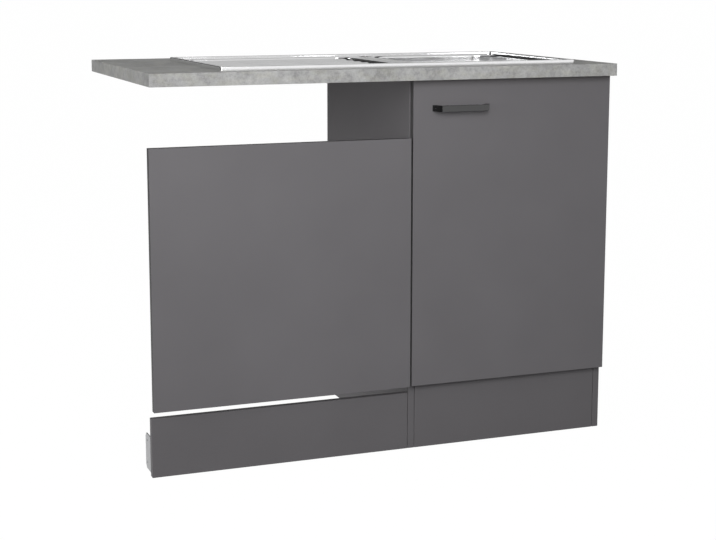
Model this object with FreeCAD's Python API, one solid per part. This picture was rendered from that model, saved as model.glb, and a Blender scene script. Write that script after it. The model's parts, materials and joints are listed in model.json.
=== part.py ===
import FreeCAD, Part
import math
import os

# Kitchen sink unit, 110 cm wide: a 50 cm sink cabinet on the right, a 60 cm dishwasher
# bay with its own front and plinth on the left, one worktop with an inset sink over both.
# Millimetres, +Z up, -Y is the front. The origin is on the floor, in the middle of the
# rectangle that the worktop covers.

# ---------------------------------------------------------------- overall sizes
unit_width = 1100.0
worktop_thickness = 28.0
body_height = 850.0
body_depth = 540.0
cabinet_width = 500.0
front_overhang = 46.0
back_overhang = 14.0
board = 16.0

# worktop skin
laminate = 0.8
edge_band = 1.2
edge_round = 0.8

# door and dishwasher front
front_board = 16.0
door_gap = 2.0
side_reveal = 2.0
end_reveal = 1.5
dishwasher_front_height = 570.5
dishwasher_front_bottom = 150.0

# plinths
plinth_height = 150.0
dishwasher_plinth_height = 132.0
plinth_clearance = 0.75

# rails
front_rail_height = 55.0
back_rail_height = 100.0
lower_rail_height = 80.0

# sink
sink_length = 850.0
sink_depth = 435.0
sink_right_margin = 87.0
sink_front_margin = 44.0
sink_corner = 5.0
sheet = 0.8
rim_height = 9.0
rim_width = 12.0
deck_height = 3.0
rim_round = 2.4
cutout_overlap = 10.0
cutout_corner = 12.0
bowl_length = 330.0
bowl_depth = 150.0
bowl_corner = 55.0
bowl_floor_round = 30.0
bowl_lip_round = 5.0
bowl_seam_drop = 7.0
bowl_right_margin = 22.0
bowl_front_margin = 40.0
bowl_back_margin = 25.0
drainer_margin = 32.0
drainer_gap = 66.0
drainer_drop = 5.0
drainer_corner = 28.0
rib_count = 8
rib_radius = 3.0
rib_inset = 16.0
tap_hole_radius = 17.5
tap_from_bowl_left = 14.0
tap_from_bowl_back = 16.0
seal_gap = 0.2
seal_width = 6.0
clip_width = 14.0
clip_sheet = 1.5
clip_setback = 3.0
clip_hook = 5.0
clip_reach = 7.0
clip_foot = 842.0
clip_back_shares = (0.1, 0.37, 0.7, 0.93)
clip_left_shares = (0.25, 0.8)

# waste fitting in the bowl
waste_hole_radius = 45.0
waste_flange_radius = 56.0
waste_clearance = 0.3
cup_depth = 33.0
basket_height = 26.0
basket_clearance = 2.6
basket_seal = 2.5
stopper_radius = 27.0
strainer_wall = 0.8
outlet_hole_count = 8
outlet_hole_radius = 4.5
outlet_pitch = 17.0
screw_hole = 3.2
clamp_screw_radius = 3.0
hub_radius = 7.0
hub_height = 14.0
basket_draw = 3.0
basket_lip = 1.6
basket_hole_count = 18
basket_hole_radius = 1.8
knob_stem = 3.0
knob_radius = 9.0
knob_height = 22.0
knob_cap = 5.0
gasket = 2.0
cone_wall = 3.0
cone_depth = 42.0
pipe_radius = 20.0
pipe_wall = 2.0
socket_wall = 4.0
socket_length = 26.0
slip = 0.15

# overflow
overflow_hole_radius = 16.0
overflow_below_deck = 55.0
overflow_pipe_radius = 10.0
overflow_pipe_wall = 1.5
overflow_standoff = 22.0
overflow_bend = 24.0
housing_depth = 34.0
housing_spout = 12.0
branch_length = 16.0
branch_wall = 2.5
branch_drop = 16.0
rosette_radius = 20.0
rosette_thickness = 2.0
rosette_spigot = 8.0
rosette_slot = 2.5
rosette_slots = 2
rosette_open = 12.0

# trap
tailpiece_drop = 95.0
trap_bend_radius = 40.0
trap_rise = 30.0
nut_wall = 4.0
nut_grooves = 12

# door hinges, at the cabinet's right side
hinge_inset = 100.0
axis_from_side = 6.0
axis_from_door_back = 6.0
cup_radius = 17.5
cup_edge_distance = 3.0
cup_bore_depth = 12.0
cup_wall = 0.8
arm_pin_offset = 14.0
cup_pin_offset = 4.5
cup_pin_angle = 125.0
pin_radius = 1.0
arm_width = 14.0
arm_sheet = 1.2
link_width = 8.0
system_spacing = 32.0
system_setback = 37.0
pin_running = 0.06
cup_pin_half = 9.6
cup_lug_start = 7.5
cup_lug_half = 2.5
ear_offset = 6.0
ear_half = 7.0
ear_spacing = 48.0
ear_reach = 29.0
cup_screw_length = 11.0
arm_nose_radius = 3.2
arm_nose_drop = 5.0
arm_web_inset = 12.0
arm_cheek_inset = 2.4
arm_web_start = 2.0
arm_length = 64.0
arm_screw_setback = 52.0
plate_half = 9.0
link_half = 1.7
link_fork_wall = 1.6
link_fork_start = 5.6
link_reach = 12.4
link_slot = 3.6

# handle
handle_length = 140.0
handle_hole_spacing = 128.0
handle_height = 14.0
handle_reach = 26.0
handle_slant = 12.6
handle_band = 5.0
handle_from_left = 46.2
handle_from_top = 62.5
handle_round = 1.2
handle_screw_radius = 2.0
handle_screw_bite = 9.0
bumper_radius = 4.0
bumper_inset = 10.0
bumper_clearance = 0.1
board_round = 0.8

# brackets and fasteners
plinth_bracket_height = 80.0
plinth_bracket_leg = 44.0
plinth_bracket_foot = 40.0
plinth_bracket_rise = 8.0
plinth_hole_spacing = 50.0
bracket_sheet = 2.0
bracket_hole_radius = 2.25
small_bracket_leg = 30.0
small_bracket_height = 60.0
small_bracket_width = 20.0
small_bracket_rise = 40.0
bracket_chamfer = 8.0
plinth_leg_hole = 28.0
plinth_foot_hole = 24.0
small_bracket_hole = 19.0
screw_radius = 1.75
screw_head_radius = 3.6
screw_head_height = 2.2
wood_screw_length = 14.0
dowel_radius = 4.0
dowel_length = 30.0
bore_clearance = 0.05
cam_radius = 7.5
cam_thickness = 12.0
cam_setback = 34.0
cam_slot = 2.0
bottom_joints = ((0.08, "cam"), (0.2, "dowel"), (0.75, "dowel"), (0.9, "cam"))
rail_joints = ((0.3, "dowel"), (0.7, "cam"))
dowel_side_depth = 10.0
bolt_thread = 2.5
bolt_neck = 2.8
bolt_shank = 3.6
bolt_side_depth = 10.0

# ---------------------------------------------------------------- derived places
worktop_depth = front_overhang + body_depth + back_overhang
x_left = -unit_width / 2
x_right = unit_width / 2
y_worktop_front = -worktop_depth / 2
y_worktop_back = worktop_depth / 2
y_front = y_worktop_front + front_overhang
y_back = y_front + body_depth
x_cabinet = x_right - cabinet_width
x_inner_left = x_cabinet + board
x_inner_right = x_right - board
worktop_top = body_height + worktop_thickness
door_back = y_front - door_gap
door_front = door_back - front_board

sink_right = x_right - sink_right_margin
sink_left = sink_right - sink_length
sink_front = y_worktop_front + sink_front_margin
sink_back = sink_front + sink_depth
rim_top = worktop_top + rim_height
deck_top = worktop_top + deck_height
bowl_right = sink_right - bowl_right_margin
bowl_left = bowl_right - bowl_length
bowl_back = sink_back - bowl_back_margin
bowl_front = sink_front + bowl_front_margin
bowl_x = (bowl_left + bowl_right) / 2
bowl_y = (bowl_front + bowl_back) / 2
bowl_floor = deck_top - bowl_depth
bowl_under = bowl_floor - sheet
bowl_seam = deck_top - bowl_seam_drop
drainer_left = sink_left + drainer_margin
drainer_right = bowl_left - drainer_gap
drainer_front = sink_front + drainer_margin
drainer_back = sink_back - drainer_margin
drainer_floor = deck_top - drainer_drop

tap_x = bowl_left - tap_from_bowl_left
tap_y = bowl_back - tap_from_bowl_back
cup_floor = bowl_floor - cup_depth
hub_bottom = cup_floor - hub_height
basket_floor = cup_floor + strainer_wall + basket_seal
gasket_bottom = bowl_under - gasket
cone_bottom = gasket_bottom - cone_depth
cone_outlet_end = cone_bottom - socket_length
overflow_z = deck_top - overflow_below_deck
overflow_x = bowl_right + overflow_standoff
branch_z = gasket_bottom - branch_drop
branch_outer = overflow_pipe_radius + slip + branch_wall
trap_top = cone_outlet_end - tailpiece_drop

hinge_axis_x = x_right - axis_from_side
hinge_axis_y = door_back - axis_from_door_back
arm_pin_x = hinge_axis_x - arm_pin_offset
arm_pin_y = hinge_axis_y
cup_pin_x = hinge_axis_x + cup_pin_offset * math.cos(math.radians(cup_pin_angle))
cup_pin_y = hinge_axis_y + cup_pin_offset * math.sin(math.radians(cup_pin_angle))
door_left = x_cabinet + side_reveal
door_right = x_right - end_reveal
door_bottom = plinth_height + end_reveal
door_top = body_height - end_reveal
cup_x = door_right - cup_edge_distance - cup_radius
hinge_heights = [door_bottom + hinge_inset, door_top - hinge_inset]
arm_web_x = x_inner_right - arm_web_inset
arm_cheek_x = x_inner_right - arm_cheek_inset
arm_nose_y = door_back - arm_nose_drop + arm_nose_radius
arm_end_y = y_front + arm_length
arm_screw_y = y_front + arm_screw_setback

handle_x = door_left + handle_from_left + handle_length / 2
handle_z = door_top - handle_from_top

X = FreeCAD.Vector(1, 0, 0)
Y = FreeCAD.Vector(0, 1, 0)
Z = FreeCAD.Vector(0, 0, 1)


# ---------------------------------------------------------------- small helpers
def vec(x, y, z):
    return FreeCAD.Vector(x, y, z)


def block(x0, x1, y0, y1, z0, z1):
    """A box from its lowest to its highest corner."""
    return Part.makeBox(x1 - x0, y1 - y0, z1 - z0, vec(x0, y0, z0))


def rod(radius, start, axis, length):
    """A cylinder from a start point along an axis."""
    return Part.makeCylinder(radius, length, start, axis)


def ring(outer, inner, start, axis, length):
    """A tube with flat ends."""
    return rod(outer, start, axis, length).cut(rod(inner, start, axis, length))


def rounded_plate(x0, x1, y0, y1, z0, z1, corner):
    """A flat slab whose four upright corners are rounded."""
    slab = block(x0, x1, y0, y1, z0, z1)
    upright = [e for e in slab.Edges if abs(e.tangentAt(e.FirstParameter).z) > 0.99]
    return slab.makeFillet(corner, upright)


def edges_at_height(shape, z):
    """The edges that lie level at one height."""
    found = []
    for edge in shape.Edges:
        box = edge.BoundBox
        if abs(box.ZMin - z) < 0.01 and abs(box.ZMax - z) < 0.01:
            found.append(edge)
    return found


def soften(shape, radius):
    """A board with all its edges lightly rounded."""
    return shape.makeFillet(radius, shape.Edges)


def prism(points, direction):
    """A straight solid on a closed outline of points."""
    outline = Part.makePolygon(points + [points[0]])
    return Part.Face(outline).extrude(direction)


def turned(profile, x, y):
    """A round part: a closed outline of (radius, height) pairs turned about an upright axis."""
    points = [vec(x + r, y, z) for r, z in profile]
    outline = Part.makePolygon(points + [points[0]])
    return Part.Face(outline).revolve(vec(x, y, 0), Z, 360)


def path_wire(points, bend):
    """Straight runs joined by tangent quarter turns of one radius."""
    edges = []
    last = points[0]
    for before, corner, after in zip(points, points[1:], points[2:]):
        into = (corner - before).normalize()
        out = (after - corner).normalize()
        start = corner - into * bend
        end = corner + out * bend
        centre = corner - into * bend + out * bend
        middle = centre + (corner - centre).normalize() * bend
        if (start - last).Length > 0.01:
            edges.append(Part.LineSegment(last, start).toShape())
        edges.append(Part.Arc(start, middle, end).toShape())
        last = end
    if (points[-1] - last).Length > 0.01:
        edges.append(Part.LineSegment(last, points[-1]).toShape())
    return Part.Wire(edges)


def swept_rod(points, bend, radius):
    """A round bar along straight runs and quarter turns."""
    wire = path_wire(points, bend)
    start = points[0]
    axis = (points[1] - points[0]).normalize()
    section = Part.Wire(Part.makeCircle(radius, start, axis))
    return wire.makePipeShell([section], True, False)


def pipe(points, bend, outer, inner):
    """A round pipe along straight runs and quarter turns."""
    return swept_rod(points, bend, outer).cut(swept_rod(points, bend, inner))


def fused(shapes):
    """One solid out of pieces that meet."""
    whole = shapes[0]
    for shape in shapes[1:]:
        whole = whole.fuse(shape)
    return whole.removeSplitter()


def cut_all(shape, tools):
    """The shape with every tool cut out of it."""
    for tool in tools:
        shape = shape.cut(tool)
    return shape


def group(shapes):
    """Separate solids kept together in one node."""
    return Part.makeCompound(shapes)


def save(node, shape):
    """Writes one node and prints its number of solids, volume and corners."""
    shape.exportStep("parts/" + node + ".step")
    box = shape.BoundBox
    corners = "x %.1f..%.1f y %.1f..%.1f z %.1f..%.1f" % (
        box.XMin, box.XMax, box.YMin, box.YMax, box.ZMin, box.ZMax)
    state = "" if shape.isValid() else "  NOT VALID"
    print("%-24s %2d solids %11.1f mm3  %s%s" % (node, len(shape.Solids), shape.Volume, corners, state))


def wood_screw(head_start, axis, length):
    """A pan-head wood screw: the head stands on head_start, the shank goes along axis."""
    head = rod(screw_head_radius, head_start - axis * screw_head_height, axis, screw_head_height)
    shank = rod(screw_radius, head_start, axis, length)
    return head.fuse(shank)


def screw_bore(head_start, axis, length):
    """The hole that a wood screw's shank fills."""
    return rod(screw_radius + bore_clearance, head_start, axis, length + bore_clearance)


# ---------------------------------------------------------------- worktop
def sink_cutout(z0, z1):
    """The opening in the worktop that the sink hangs in."""
    return rounded_plate(sink_left + cutout_overlap, sink_right - cutout_overlap,
                         sink_front + cutout_overlap, sink_back - cutout_overlap,
                         z0, z1, cutout_corner)


def worktop_core():
    core = block(x_left + edge_band, x_right - edge_band, y_worktop_front + edge_band,
                 y_worktop_back, body_height, worktop_top - laminate)
    core = core.cut(sink_cutout(body_height, worktop_top))
    return cut_all(core, [screw_bore(p, a, n) for p, a, n in angle_screws() if a.z > 0.5])


def worktop_laminate():
    skin = block(x_left + edge_band, x_right - edge_band, y_worktop_front + edge_band,
                 y_worktop_back, worktop_top - laminate, worktop_top)
    return skin.cut(sink_cutout(body_height, worktop_top + laminate))


def worktop_front_edging():
    strip = block(x_left, x_right, y_worktop_front, y_worktop_front + edge_band,
                  body_height, worktop_top)
    outer = [e for e in strip.Edges if e.BoundBox.YMax < y_worktop_front + 0.01]
    return strip.makeFillet(edge_round, outer)


def worktop_end_edging(x0, x_outer):
    strip = block(x0, x0 + edge_band, y_worktop_front + edge_band, y_worktop_back,
                  body_height, worktop_top)
    outer = [e for e in strip.Edges
             if abs(e.BoundBox.XMin - x_outer) < 0.01 and abs(e.BoundBox.XMax - x_outer) < 0.01
             and e.BoundBox.ZLength < 0.01]
    return strip.makeFillet(edge_round, outer)


# ---------------------------------------------------------------- sink
def rim_block(inset, top, corner_round):
    """The sink's outline as a block, drawn in by inset, with its top edge rounded."""
    slab = rounded_plate(sink_left + inset, sink_right - inset, sink_front + inset, sink_back - inset,
                         worktop_top, top, sink_corner - inset)
    return slab.makeFillet(corner_round, edges_at_height(slab, top))


def rim_recess(inset, floor, floor_round):
    """The space inside the raised rim, down to the deck."""
    slab = rounded_plate(sink_left + inset, sink_right - inset, sink_front + inset, sink_back - inset,
                         floor, rim_top + sheet, sink_corner + rim_width - inset)
    return slab.makeFillet(floor_round, edges_at_height(slab, floor))


def bowl_block(grow, top):
    """The bowl's hollow, made larger all round by grow."""
    slab = rounded_plate(bowl_left - grow, bowl_right + grow, bowl_front - grow, bowl_back + grow,
                         bowl_floor - grow, top, bowl_corner + grow)
    return slab.makeFillet(bowl_floor_round + grow, edges_at_height(slab, bowl_floor - grow))


def drainer_block(grow, top):
    """The drainer's shallow tray, made larger all round by grow."""
    slab = rounded_plate(drainer_left - grow, drainer_right + grow, drainer_front - grow,
                         drainer_back + grow, drainer_floor - grow, top, drainer_corner + grow)
    return slab.makeFillet(drainer_drop / 2 + grow, edges_at_height(slab, drainer_floor - grow))


def drainer_ribs(radius, lift):
    """Round-backed ribs that lie along the drainer."""
    step = (drainer_back - drainer_front - 2 * rib_inset) / (rib_count - 1)
    length = drainer_right - drainer_left - 2 * rib_inset
    ribs = []
    for i in range(rib_count):
        start = vec(drainer_left + rib_inset, drainer_front + rib_inset + i * step, drainer_floor - lift)
        rib = rod(radius, start, X, length)
        rib = rib.fuse(Part.makeSphere(radius, start))
        rib = rib.fuse(Part.makeSphere(radius, start + X * length))
        ribs.append(rib)
    return ribs


def deck_solid(grow, rim, deck, outer_round, recess_round, lip_round, ribs):
    """Everything that lies below one face of the pressed sheet."""
    solid = rim_block(grow, rim, outer_round)
    solid = solid.cut(rim_recess(rim_width - grow, deck, recess_round))
    inside = rim_width - 2 * sheet
    inner = [e for e in edges_at_height(solid, rim) if lies_within(e, inside)]
    solid = solid.makeFillet(outer_round, inner)
    solid = solid.fuse(rounded_plate(sink_left, sink_right, sink_front, sink_back,
                                     bowl_floor - 2 * sheet, worktop_top, sink_corner))
    solid = solid.cut(bowl_block(grow, rim))
    solid = solid.cut(drainer_block(grow, rim))
    lip = [e for e in edges_at_height(solid, deck) if lies_within(e, rim_width + recess_round + sheet)]
    between = drainer_right + drainer_gap / 2
    solid = solid.makeFillet(lip_round, [e for e in lip if e.BoundBox.XMin > between])
    solid = solid.makeFillet(drainer_drop / 2 - sheet + grow,
                             [e for e in lip if e.BoundBox.XMax < between])
    for rib in ribs:
        solid = solid.fuse(rib)
    return solid


def lies_within(edge, inset):
    """Whether an edge stays inside the sink's outline, drawn in by inset."""
    box = edge.BoundBox
    along = box.XMin > sink_left + inset and box.XMax < sink_right - inset
    return along and box.YMin > sink_front + inset and box.YMax < sink_back - inset


def sink_sheet():
    """The whole sink as one skin: a raised rim, a ribbed drainer and a bowl."""
    upper = deck_solid(0, rim_top, deck_top, rim_round, rim_round, bowl_lip_round,
                       drainer_ribs(rib_radius, 0))
    lower = deck_solid(sheet, rim_top - sheet, deck_top - sheet, rim_round - sheet,
                       rim_round + sheet, bowl_lip_round - sheet,
                       drainer_ribs(rib_radius - sheet, sheet))
    shell = upper.cut(lower)
    waste = rod(waste_hole_radius + waste_clearance, vec(bowl_x, bowl_y, bowl_under - sheet), Z, 3 * sheet)
    overflow = rod(overflow_hole_radius, vec(bowl_right - sheet, bowl_y, overflow_z), X, 3 * sheet)
    tap = rod(tap_hole_radius, vec(tap_x, tap_y, deck_top - 2 * sheet), Z, 3 * sheet)
    return cut_all(shell, [waste, overflow, tap])


def sink_part(sheet_skin, z0, z1):
    """The stretch of the sink between two heights."""
    return sheet_skin.common(block(x_left, x_right, y_worktop_front, y_worktop_back, z0, z1))


def sink_seal():
    """Foam strip under the raised rim, on the worktop."""
    lip = sheet + seal_gap
    outer = rounded_plate(sink_left + lip, sink_right - lip, sink_front + lip, sink_back - lip,
                          worktop_top, rim_top - sheet - seal_gap, sink_corner - lip)
    outer = outer.makeFillet(rim_round, edges_at_height(outer, rim_top - sheet - seal_gap))
    inset = lip + seal_width
    inner = rounded_plate(sink_left + inset, sink_right - inset, sink_front + inset, sink_back - inset,
                          worktop_top - sheet, rim_top, sink_corner - lip)
    return outer.cut(inner)


def clip_places():
    """Where the clips grip the cut-out's edge, and the way out from it.

    None stands in front, and those on the right stand clear of the bowl, at its corners.
    """
    x0 = sink_left + cutout_overlap
    x1 = sink_right - cutout_overlap
    y0 = sink_front + cutout_overlap
    y1 = sink_back - cutout_overlap
    places = []
    for share in clip_back_shares:
        places.append((vec(x0 + share * (x1 - x0), y1, 0), Y))
    for share in clip_left_shares:
        places.append((vec(x0, y0 + share * (y1 - y0), 0), -X))
    for y in (bowl_front + clip_width, bowl_back - clip_width):
        places.append((vec(x1, y, 0), X))
    return places


def turned_out(shape, place, out):
    """Moves a clip that was drawn facing +Y to its place on the cut-out's edge."""
    moved = shape.copy()
    moved.rotate(vec(0, 0, 0), Z, math.degrees(math.atan2(out.y, out.x)) - 90)
    moved.translate(place)
    return moved


def sink_clips():
    """Bent steel clips that hook under the deck and reach below the worktop."""
    half = clip_width / 2
    web_back = -clip_setback
    web_front = web_back - clip_sheet
    web = block(-half, half, web_front, web_back, clip_foot, deck_top - sheet)
    hook = block(-half, half, web_front - clip_hook, web_back,
                 deck_top - sheet - clip_sheet, deck_top - sheet)
    foot = block(-half, half, web_front, clip_reach, clip_foot, clip_foot + clip_sheet)
    hole = rod(screw_radius + bore_clearance, vec(0, clip_reach / 2, clip_foot - clip_sheet), Z,
               3 * clip_sheet)
    clip = fused([web, hook, foot]).cut(hole)
    return group([turned_out(clip, place, out) for place, out in clip_places()])


def sink_clip_screws():
    """Screws that press each clip's foot away from the worktop's underside."""
    screw = wood_screw(vec(0, clip_reach / 2, clip_foot), Z, body_height - clip_foot)
    return group([turned_out(screw, place, out) for place, out in clip_places()])


# ---------------------------------------------------------------- waste fitting
def outlet_holes(radius, pitch, count, z, depth):
    """A ring of round holes about the bowl's centre."""
    holes = []
    for i in range(count):
        angle = 2 * math.pi * i / count
        centre = vec(bowl_x + pitch * math.cos(angle), bowl_y + pitch * math.sin(angle), z)
        holes.append(rod(radius, centre, Z, depth))
    return holes


def waste_cup():
    """The steel strainer cup that hangs in the bowl's waste hole."""
    wall = waste_hole_radius - strainer_wall
    profile = [(screw_hole, cup_floor), (waste_hole_radius, cup_floor),
               (waste_hole_radius, bowl_floor), (waste_flange_radius, bowl_floor),
               (waste_flange_radius, bowl_floor + strainer_wall), (wall, bowl_floor + strainer_wall),
               (wall, cup_floor + strainer_wall), (screw_hole, cup_floor + strainer_wall)]
    cup = turned(profile, bowl_x, bowl_y)
    return cut_all(cup, outlet_holes(outlet_hole_radius, outlet_pitch, outlet_hole_count,
                                     cup_floor - strainer_wall, 3 * strainer_wall))


def waste_screw():
    """The countersunk screw that draws the cup down on to the waste body."""
    top = cup_floor + strainer_wall
    profile = [(0, hub_bottom), (clamp_screw_radius, hub_bottom), (clamp_screw_radius, cup_floor),
               (clamp_screw_radius, top), (outlet_pitch - outlet_hole_radius - strainer_wall, top),
               (clamp_screw_radius + strainer_wall, top + strainer_wall), (0, top + strainer_wall)]
    return turned(profile, bowl_x, bowl_y)


def waste_gasket():
    return ring(waste_flange_radius - gasket, waste_hole_radius + gasket,
                vec(bowl_x, bowl_y, gasket_bottom), Z, gasket)


def waste_body():
    """The moulded waste body below the bowl, with its overflow branch and threaded outlet."""
    outer = waste_hole_radius + gasket + cone_wall
    inner = waste_hole_radius + gasket
    neck = pipe_radius + slip
    shoulder = cup_floor - cone_wall
    profile = [(waste_flange_radius - gasket, gasket_bottom), (inner, gasket_bottom),
               (inner, shoulder), (neck, cone_bottom), (neck, cone_outlet_end),
               (neck + socket_wall, cone_outlet_end), (neck + socket_wall, cone_bottom - cone_wall),
               (outer, shoulder - cone_wall), (outer, gasket_bottom - cone_wall),
               (waste_flange_radius - gasket, gasket_bottom - cone_wall)]
    body = turned(profile, bowl_x, bowl_y)
    hub = rod(hub_radius, vec(bowl_x, bowl_y, hub_bottom), Z, cup_floor - hub_bottom)
    spokes = []
    for turn in (0, 90):
        spoke = block(bowl_x - inner - cone_wall / 2, bowl_x + inner + cone_wall / 2,
                      bowl_y - cone_wall / 2, bowl_y + cone_wall / 2, shoulder, cup_floor)
        spoke.rotate(vec(bowl_x, bowl_y, 0), Z, turn)
        spokes.append(spoke)
    branch = rod(branch_outer, vec(bowl_x + inner + cone_wall / 2, bowl_y, branch_z), X,
                 branch_length)
    body = fused([body, hub, branch] + spokes)
    bore = rod(overflow_pipe_radius + slip, vec(bowl_x + inner - cone_wall, bowl_y, branch_z), X,
               branch_length + 2 * cone_wall)
    thread = rod(clamp_screw_radius + bore_clearance, vec(bowl_x, bowl_y, hub_bottom - 1), Z,
                 cup_floor)
    return cut_all(body, [bore, thread])


def waste_basket():
    """The lift-out basket: a perforated pan that carries the stopper."""
    r = waste_hole_radius - basket_clearance
    z0 = basket_floor
    z1 = z0 + basket_height
    t = strainer_wall
    profile = [(0, z0), (r - basket_draw, z0), (r, z1), (r + basket_lip, z1), (r + basket_lip, z1 + t),
               (r - t, z1 + t), (r - basket_draw - t, z0 + t), (0, z0 + t)]
    pan = turned(profile, bowl_x, bowl_y)
    return cut_all(pan, outlet_holes(basket_hole_radius, stopper_radius + 2 * basket_hole_radius,
                                     basket_hole_count, z0 - t, 3 * t))


def basket_stopper():
    """The rubber disc under the basket that closes the cup."""
    return ring(stopper_radius, outlet_pitch - outlet_hole_radius - strainer_wall + gasket,
                vec(bowl_x, bowl_y, cup_floor + strainer_wall), Z, basket_seal)


def basket_knob():
    """The finger knob on its stem in the middle of the basket."""
    z0 = basket_floor + strainer_wall
    profile = [(0, z0), (knob_stem, z0), (knob_stem, z0 + knob_height - knob_cap),
               (knob_radius, z0 + knob_height - knob_cap), (knob_radius, z0 + knob_height - knob_stem / 2),
               (knob_radius - knob_stem / 2, z0 + knob_height), (0, z0 + knob_height)]
    return turned(profile, bowl_x, bowl_y)


# ---------------------------------------------------------------- overflow
def overflow_rosette():
    """The slotted cap on the bowl's right wall, screwed into the overflow housing."""
    start = vec(bowl_right - rosette_thickness, bowl_y, overflow_z)
    cap = rod(rosette_radius, start, X, rosette_thickness)
    spigot = rod(overflow_hole_radius - waste_clearance, start, X, rosette_thickness + rosette_spigot)
    cap = cap.fuse(spigot)
    slots = []
    for i in range(-rosette_slots, rosette_slots + 1):
        y = bowl_y + i * 2 * rosette_slot
        half = math.sqrt(rosette_open ** 2 - (y - bowl_y) ** 2)
        slots.append(block(start.x - 1, bowl_right + rosette_spigot + 1, y - rosette_slot / 2,
                           y + rosette_slot / 2, overflow_z - half, overflow_z + half))
    return cut_all(cap, slots)


def overflow_housing():
    """The moulded elbow behind the bowl wall that leads the overflow down."""
    x0 = bowl_right + sheet
    outer = overflow_hole_radius + cone_wall
    shell = rod(outer, vec(x0, bowl_y, overflow_z), X, housing_depth)
    spout = rod(branch_outer, vec(overflow_x, bowl_y, overflow_z - outer - housing_spout), Z,
                outer + housing_spout)
    body = shell.fuse(spout)
    hollow = rod(overflow_hole_radius + slip, vec(x0 - 1, bowl_y, overflow_z), X,
                 housing_depth + 1 - cone_wall)
    bore = rod(overflow_pipe_radius + slip, vec(overflow_x, bowl_y, overflow_z - outer - housing_spout - 1),
               Z, outer + housing_spout + 1)
    return cut_all(body, [hollow, bore])


def overflow_pipe():
    """The bent pipe from the overflow housing to the waste body."""
    outer = overflow_hole_radius + cone_wall
    top = overflow_z - outer
    points = [vec(overflow_x, bowl_y, top), vec(overflow_x, bowl_y, branch_z),
              vec(bowl_x + waste_hole_radius + gasket + cone_wall + slip, bowl_y, branch_z)]
    return pipe(points, overflow_bend, overflow_pipe_radius, overflow_pipe_radius - overflow_pipe_wall)


# ---------------------------------------------------------------- trap
def trap_tailpiece():
    """The straight pipe from the waste body down into the trap."""
    top = cone_bottom - cone_wall
    length = top - (trap_top - socket_length + pipe_wall)
    return ring(pipe_radius, pipe_radius - pipe_wall, vec(bowl_x, bowl_y, top - length), Z, length)


def trap_bend():
    """The U bend that holds the water seal, with a socket at each end."""
    low = trap_top - socket_length - trap_bend_radius
    y1 = bowl_y + 2 * trap_bend_radius
    points = [vec(bowl_x, bowl_y, trap_top - socket_length), vec(bowl_x, bowl_y, low),
              vec(bowl_x, y1, low), vec(bowl_x, y1, trap_top - socket_length)]
    bend = pipe(points, trap_bend_radius, pipe_radius, pipe_radius - pipe_wall)
    neck = pipe_radius + slip
    sockets = []
    for y in (bowl_y, y1):
        base = vec(bowl_x, y, trap_top - socket_length)
        collar = rod(neck + socket_wall, base, Z, socket_length)
        floor = rod(pipe_radius - pipe_wall, base, Z, socket_length)
        bore = rod(neck, base + Z * pipe_wall, Z, socket_length)
        sockets.append(collar.cut(floor).cut(bore))
    return fused([bend] + sockets)


def trap_arm():
    """The outlet pipe: up out of the trap and back to the wall."""
    y1 = bowl_y + 2 * trap_bend_radius
    points = [vec(bowl_x, y1, trap_top - socket_length + pipe_wall),
              vec(bowl_x, y1, trap_top + trap_rise + trap_bend_radius),
              vec(bowl_x, y_worktop_back, trap_top + trap_rise + trap_bend_radius)]
    return pipe(points, trap_bend_radius, pipe_radius, pipe_radius - pipe_wall)


def slip_nut(x, y, z):
    """A union nut round a socket, with grip grooves."""
    neck = pipe_radius + slip
    outer = neck + socket_wall + nut_wall
    length = socket_length - cone_wall
    nut = rod(outer, vec(x, y, z - length), Z, length + nut_wall)
    nut = nut.cut(rod(neck + socket_wall + slip, vec(x, y, z - length - 1), Z, length + 1))
    nut = nut.cut(rod(neck, vec(x, y, z - length), Z, 2 * socket_length))
    grooves = []
    for i in range(nut_grooves):
        angle = 2 * math.pi * i / nut_grooves
        start = vec(x + outer * math.cos(angle), y + outer * math.sin(angle), z - length - 1)
        grooves.append(rod(nut_wall / 2, start, Z, 2 * socket_length))
    return cut_all(nut, grooves)


def trap_nuts():
    under_waste = slip_nut(bowl_x, bowl_y, -cone_outlet_end)
    under_waste.rotate(vec(bowl_x, bowl_y, 0), X, 180)
    nuts = [under_waste, slip_nut(bowl_x, bowl_y, trap_top)]
    nuts.append(slip_nut(bowl_x, bowl_y + 2 * trap_bend_radius, trap_top))
    return group(nuts)


# ---------------------------------------------------------------- carcass joints
def joint_table():
    """Every dowel and cam fitting: board, place at its end, kind, and the way its cam goes in."""
    joints = []
    for share, kind in bottom_joints:
        joints.append(("bottom", y_front + share * body_depth, plinth_height + board / 2, kind, Z))
    for share, kind in rail_joints:
        z = body_height - (1 - share) * front_rail_height
        joints.append(("front", y_front + board / 2, z, kind, -Y))
        z = body_height - (1 - share) * back_rail_height
        joints.append(("upper", y_back - board / 2, z, kind, Y))
        z = plinth_height + board + share * lower_rail_height
        joints.append(("lower", y_back - board / 2, z, kind, Y))
    return joints


def side_bores(face, inward):
    """Holes in a side board, from its inner face outwards."""
    bores = []
    for name, y, z, kind, way in joint_table():
        start = vec(face, y, z)
        if kind == "dowel":
            bores.append(rod(dowel_radius + bore_clearance, start, -inward,
                             dowel_side_depth + bore_clearance))
        else:
            bores.append(rod(bolt_thread + bore_clearance, start, -inward,
                             bolt_side_depth + bore_clearance))
    return bores


def cam_start(face, inward, y, z, way):
    """The centre of a cam's open face, on the board's hidden face."""
    return vec(face, y, z) + inward * cam_setback - way * (board / 2)


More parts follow.
